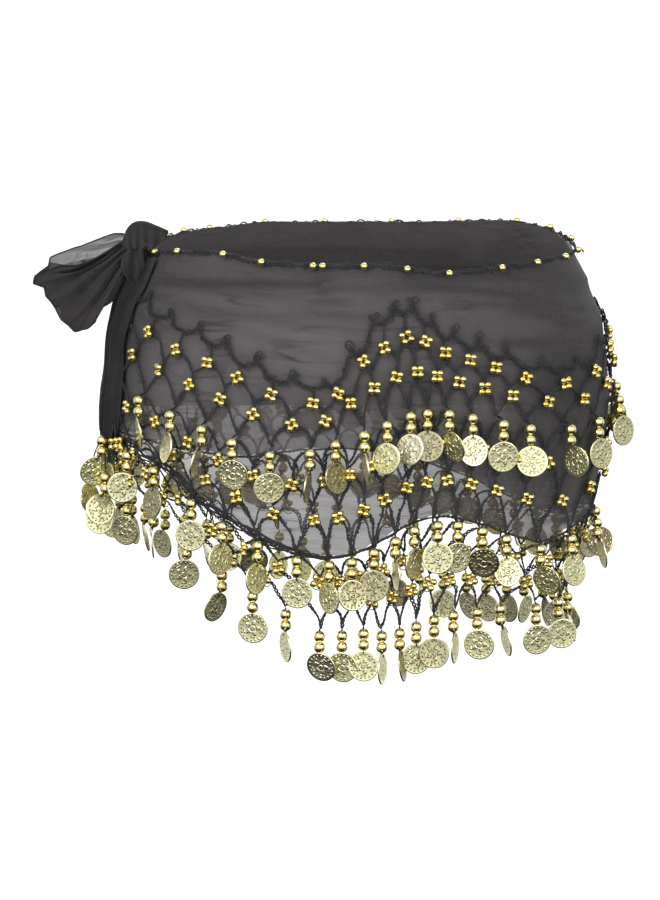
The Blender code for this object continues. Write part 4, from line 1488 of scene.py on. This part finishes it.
class SCARF_OT_tail(bpy.types.Operator):
    """Build the gathered end that hangs below the knot, with its net and coins"""

    bl_idname = "scarf.tail"
    bl_label = "Hanging tail"

    def execute(self, context):
        out, side = outward(TAIL_ANGLE), along(TAIL_ANGLE)
        rows, count = 80, 120
        t = np.linspace(0, 1, count)
        fold = pleated(t, 9, SEED + 30)
        fine = pleated(t, 27, SEED + 31)
        ragged = -130 + 5 * pleated(t, 6, SEED + 32) + 1.5 * fine
        heights = TAIL[0][0] + (ragged - TAIL[0][0]) * np.linspace(0, 1, rows)[:, None]
        away, half, pleat = (
            smooth(TAIL, TAIL_COLUMNS, "height", name, heights) * MM for name in TAIL_COLUMNS[1:]
        )
        drift = 1.2 * MM * np.sin(heights * 0.07 + t * 7)
        swing = fold * pleat * 0.85 + fine * 0.7 * MM * np.sin(heights * 0.05 + 2)
        points = hip_points(TAIL_ANGLE, heights * MM) + out * (away + swing)[..., None]
        points = points + side * ((2 * t - 1) * half + drift)[..., None]
        flap = np.clip((heights - FLAP_DEEP) / (FLAP_TOP - FLAP_DEEP), 0, 1) ** 0.8
        near = np.clip((t - 0.6) / 0.4, 0, 1)
        reach = TAIL_ANGLE + near * angle_of(FLAP_WIDE, FLAP_RADIUS) * flap
        spread = hip_points(reach, heights * MM, 4.2 * MM)
        spread = spread + outward(reach) * (fine * 1.2 * MM)[:, None]
        share = (near * flap)[..., None]
        points = points * (1 - share) + spread * share
        # Painted shade on the pleats: the tone follows the folds, painting them darker and lighter by
        # turns.
        tones = np.tile(np.clip(0.5 + 0.3 * fold + 0.2 * fine, 0, 1), rows)
        piece = Piece()
        piece.add(points, grid_faces(rows, count), stack(t * 0.14, heights * MM), tones)
        obj = piece.build("tail", "gathered_chiffon", ("hanging_tail",))
        self.build_end(context, out, side)
        return {"FINISHED"}

    def build_end(self, context, out, side):
        """The crocheted end of the tail: short chains, clusters and coins."""
        rng = np.random.default_rng(SEED + 5)
        sizes = context.scene.scarf_sizes
        net, threads, gold, coins = Piece(), Piece(), Piece(), Piece()
        end = dict(zip(TAIL_COLUMNS, TAIL[-1]))
        base = hip_points(TAIL_ANGLE, -122 * MM) + out * end["outward"] * MM
        down = -UP
        half = 13 * MM
        for step in range(5):
            strands = 5 - step % 2
            for n in range(strands):
                x = (n - (strands - 1) / 2) * half / 2.2
                start = base + side * x + down * (step * 5.0 - 2) * MM
                for aside in (-1, 1):
                    last = base + side * (x + aside * half / 4.4) + down * (step * 5.0 + 4) * MM
                    path = bend([start, (start + last) / 2 + down * 1.5 * MM, last])
                    path = path + out * rng.uniform(-2, 2) * MM
                    chain(net, path, 0.8 * MM, 0.5 * MM, rng.uniform(0, FULL_TURN))
        for x, y, height, turn in TAIL_COINS:
            root = np.array([x, y, height]) * MM
            start = base + side * rng.uniform(-0.6, 0.6) * half + down * 2 * MM
            chain(net, bend([start, (start + root) / 2 + out * 2 * MM, root]), 0.5 * MM, 0.45 * MM)
            tilt, tone = rng.normal(0, 0.08), rng.uniform(0.5, 1)
            turn = math.radians(turn - TAIL_ANGLE)
            hang_pendant(threads, gold, coins, root, out, side, 0.0, turn, tilt, tone, sizes)
        net.build("tail_chains", "crochet_yarn", ("tail_net",))
        small = sizes.small_bead / 2
        for _ in range(9):
            x, drop = rng.uniform(-168, -146), rng.uniform(-146, -126)
            spot = np.array([x, -34 - 0.7 * (x + 168), drop]) * MM
            for a, b in FOUR_CORNERS:
                centre = spot + side * a * 2.0 * MM + out * a * MM - down * b * 2.1 * MM
                add_beads(gold, [centre], small, SMALL_BEAD_MESH, side, [rng.uniform(0, 0.45)])
        coins.build("tail_coin_row", "stamped_coin", ("tail_coins",))
        gold.build("tail_beads", "gilt_bead")
        threads.build("tail_threads", "crochet_yarn")


# The camera: how far it stands from the scarf's middle, how far it looks down, and how much of the
# subject one pixel of the 660 x 900 picture shows.
CAMERA_AWAY = 2.3
CAMERA_DOWN = 6.0
MM_PER_PIXEL = 0.66
PICTURE = (660, 900)
PICTURE_MIDDLE_X = 360
AIM_HEIGHT = -141 * MM
FLOOR_HEIGHT = -0.95
FLOOR_REACH = 30.0

# The lights: name, place, size and power.
LIGHTS = (
    ("key", (-1.4, -2.2, 1.6), 1.1, 42.0),
    ("fill", (1.9, -1.7, 0.7), 1.3, 20.0),
    ("back", (0.6, 1.9, 1.8), 1.2, 20.0),
)


class SCARF_OT_stage(bpy.types.Operator):
    """Set up the floor, the lights and the camera"""

    bl_idname = "scarf.stage"
    bl_label = "Stage"

    def execute(self, context):
        self.build_floor(context)
        self.build_lights(context)
        self.build_camera(context)
        context.scene.view_settings.view_transform = "Standard"
        return {"FINISHED"}

    def build_floor(self, context):
        mesh = bpy.data.meshes.new("floor")
        corners = [(x * FLOOR_REACH, y * FLOOR_REACH, FLOOR_HEIGHT) for x, y in FOUR_CORNERS]
        mesh.from_pydata(corners, [], [(0, 2, 3, 1)])
        material, _, shader = new_material("pale_floor", (0.93, 0.93, 0.93), 0.9)
        shader.inputs["Emission Color"].default_value = (1, 1, 1, 1)
        shader.inputs["Emission Strength"].default_value = 0.45
        mesh.materials.append(material)
        floor = bpy.data.objects.new("floor", mesh)
        context.scene.collection.objects.link(floor)
        floor.visible_glossy = False
        floor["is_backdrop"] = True

    def build_lights(self, context):
        world = bpy.data.worlds.new("studio")
        world.use_nodes = True
        tree = world.node_tree
        sky = tree.nodes["Background"]
        _, y, z = split_step(tree, tree.nodes.new("ShaderNodeTexCoord").outputs["Generated"])
        low = range_step(tree, z, -0.50, 0.0, 0.04, 1.5)
        high = range_step(tree, z, 0.35, 0.9, 0.0, -0.3)
        sides = range_step(tree, times(tree, y, y), 0.05, 0.75, 0.45, 1.0)
        glow = times(tree, plus(tree, low, high), sides)
        seen = tree.nodes.new("ShaderNodeLightPath").outputs["Is Camera Ray"]
        hidden = math_step(tree, "SUBTRACT", 1.0, seen)
        strength = plus(tree, times(tree, glow, hidden), seen)
        sky.inputs["Color"].default_value = (1, 1, 1, 1)
        tree.links.new(strength, sky.inputs["Strength"])
        context.scene.world = world
        for name, place, size, power in LIGHTS:
            light = bpy.data.lights.new(name, "AREA")
            light.shape = "DISK"
            light.size = size
            light.energy = power
            obj = bpy.data.objects.new(name, light)
            obj.location = place
            obj.rotation_euler = direction_euler(AIM_HEIGHT * UP - np.array(place))
            context.scene.collection.objects.link(obj)

    def build_camera(self, context):
        data = bpy.data.cameras.new("camera")
        camera = bpy.data.objects.new("camera", data)
        down = math.radians(CAMERA_DOWN)
        away = np.array([0.0, -math.cos(down), math.sin(down)]) * CAMERA_AWAY
        camera.location = AIM_HEIGHT * UP + away
        camera.rotation_euler = direction_euler(-away)
        shown = PICTURE[1] * MM_PER_PIXEL * MM
        data.sensor_fit = "AUTO"
        data.sensor_width = 36.0
        data.lens = data.sensor_width * CAMERA_AWAY / shown
        data.shift_x = (PICTURE[0] / 2 - PICTURE_MIDDLE_X) / PICTURE[1]
        data.clip_end = 100.0
        context.scene.collection.objects.link(camera)
        context.scene.camera = camera


def direction_euler(way):
    """The turn that points a camera or a light along a direction."""
    return Vector(way).to_track_quat("-Z", "Y").to_euler()


class SCARF_PT_sidebar(bpy.types.Panel):
    """The scarf's pieces in the sidebar"""

    bl_idname = "SCARF_PT_sidebar"
    bl_label = "Hip scarf"
    bl_space_type = "VIEW_3D"
    bl_region_type = "UI"
    bl_category = "Hip scarf"

    def draw(self, context):
        for group in (context.scene.scarf_colours, context.scene.scarf_sizes):
            box = self.layout.box()
            for name in group.__annotations__:
                box.prop(group, name)
        for operator in BUILDERS:
            self.layout.operator(operator.bl_idname)


BUILDERS = (
    SCARF_OT_stage,
    SCARF_OT_chiffon,
    SCARF_OT_crochet,
    SCARF_OT_rim_chains,
    SCARF_OT_clusters,
    SCARF_OT_pendants,
    SCARF_OT_bow,
    SCARF_OT_tail,
)
CLASSES = (ScarfColours, ScarfSizes, *BUILDERS, SCARF_PT_sidebar)


def register():
    """Registers the classes and the settings on the scene."""
    for item in CLASSES:
        bpy.utils.register_class(item)
    bpy.types.Scene.scarf_colours = bpy.props.PointerProperty(type=ScarfColours)
    bpy.types.Scene.scarf_sizes = bpy.props.PointerProperty(type=ScarfSizes)


def unregister():
    """Takes the settings and the classes away again."""
    del bpy.types.Scene.scarf_sizes
    del bpy.types.Scene.scarf_colours
    for item in reversed(CLASSES):
        bpy.utils.unregister_class(item)


def main():
    """Builds the whole scene."""
    register()
    for operator in BUILDERS:
        group, name = operator.bl_idname.split(".")
        getattr(getattr(bpy.ops, group), name)()
    sizes = {"cad": CAD_BOX, "visual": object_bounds()}
    {key: [list(map(float, corner)) for corner in box] for key, box in sizes.items()}


if __name__ == "__main__":
    main()
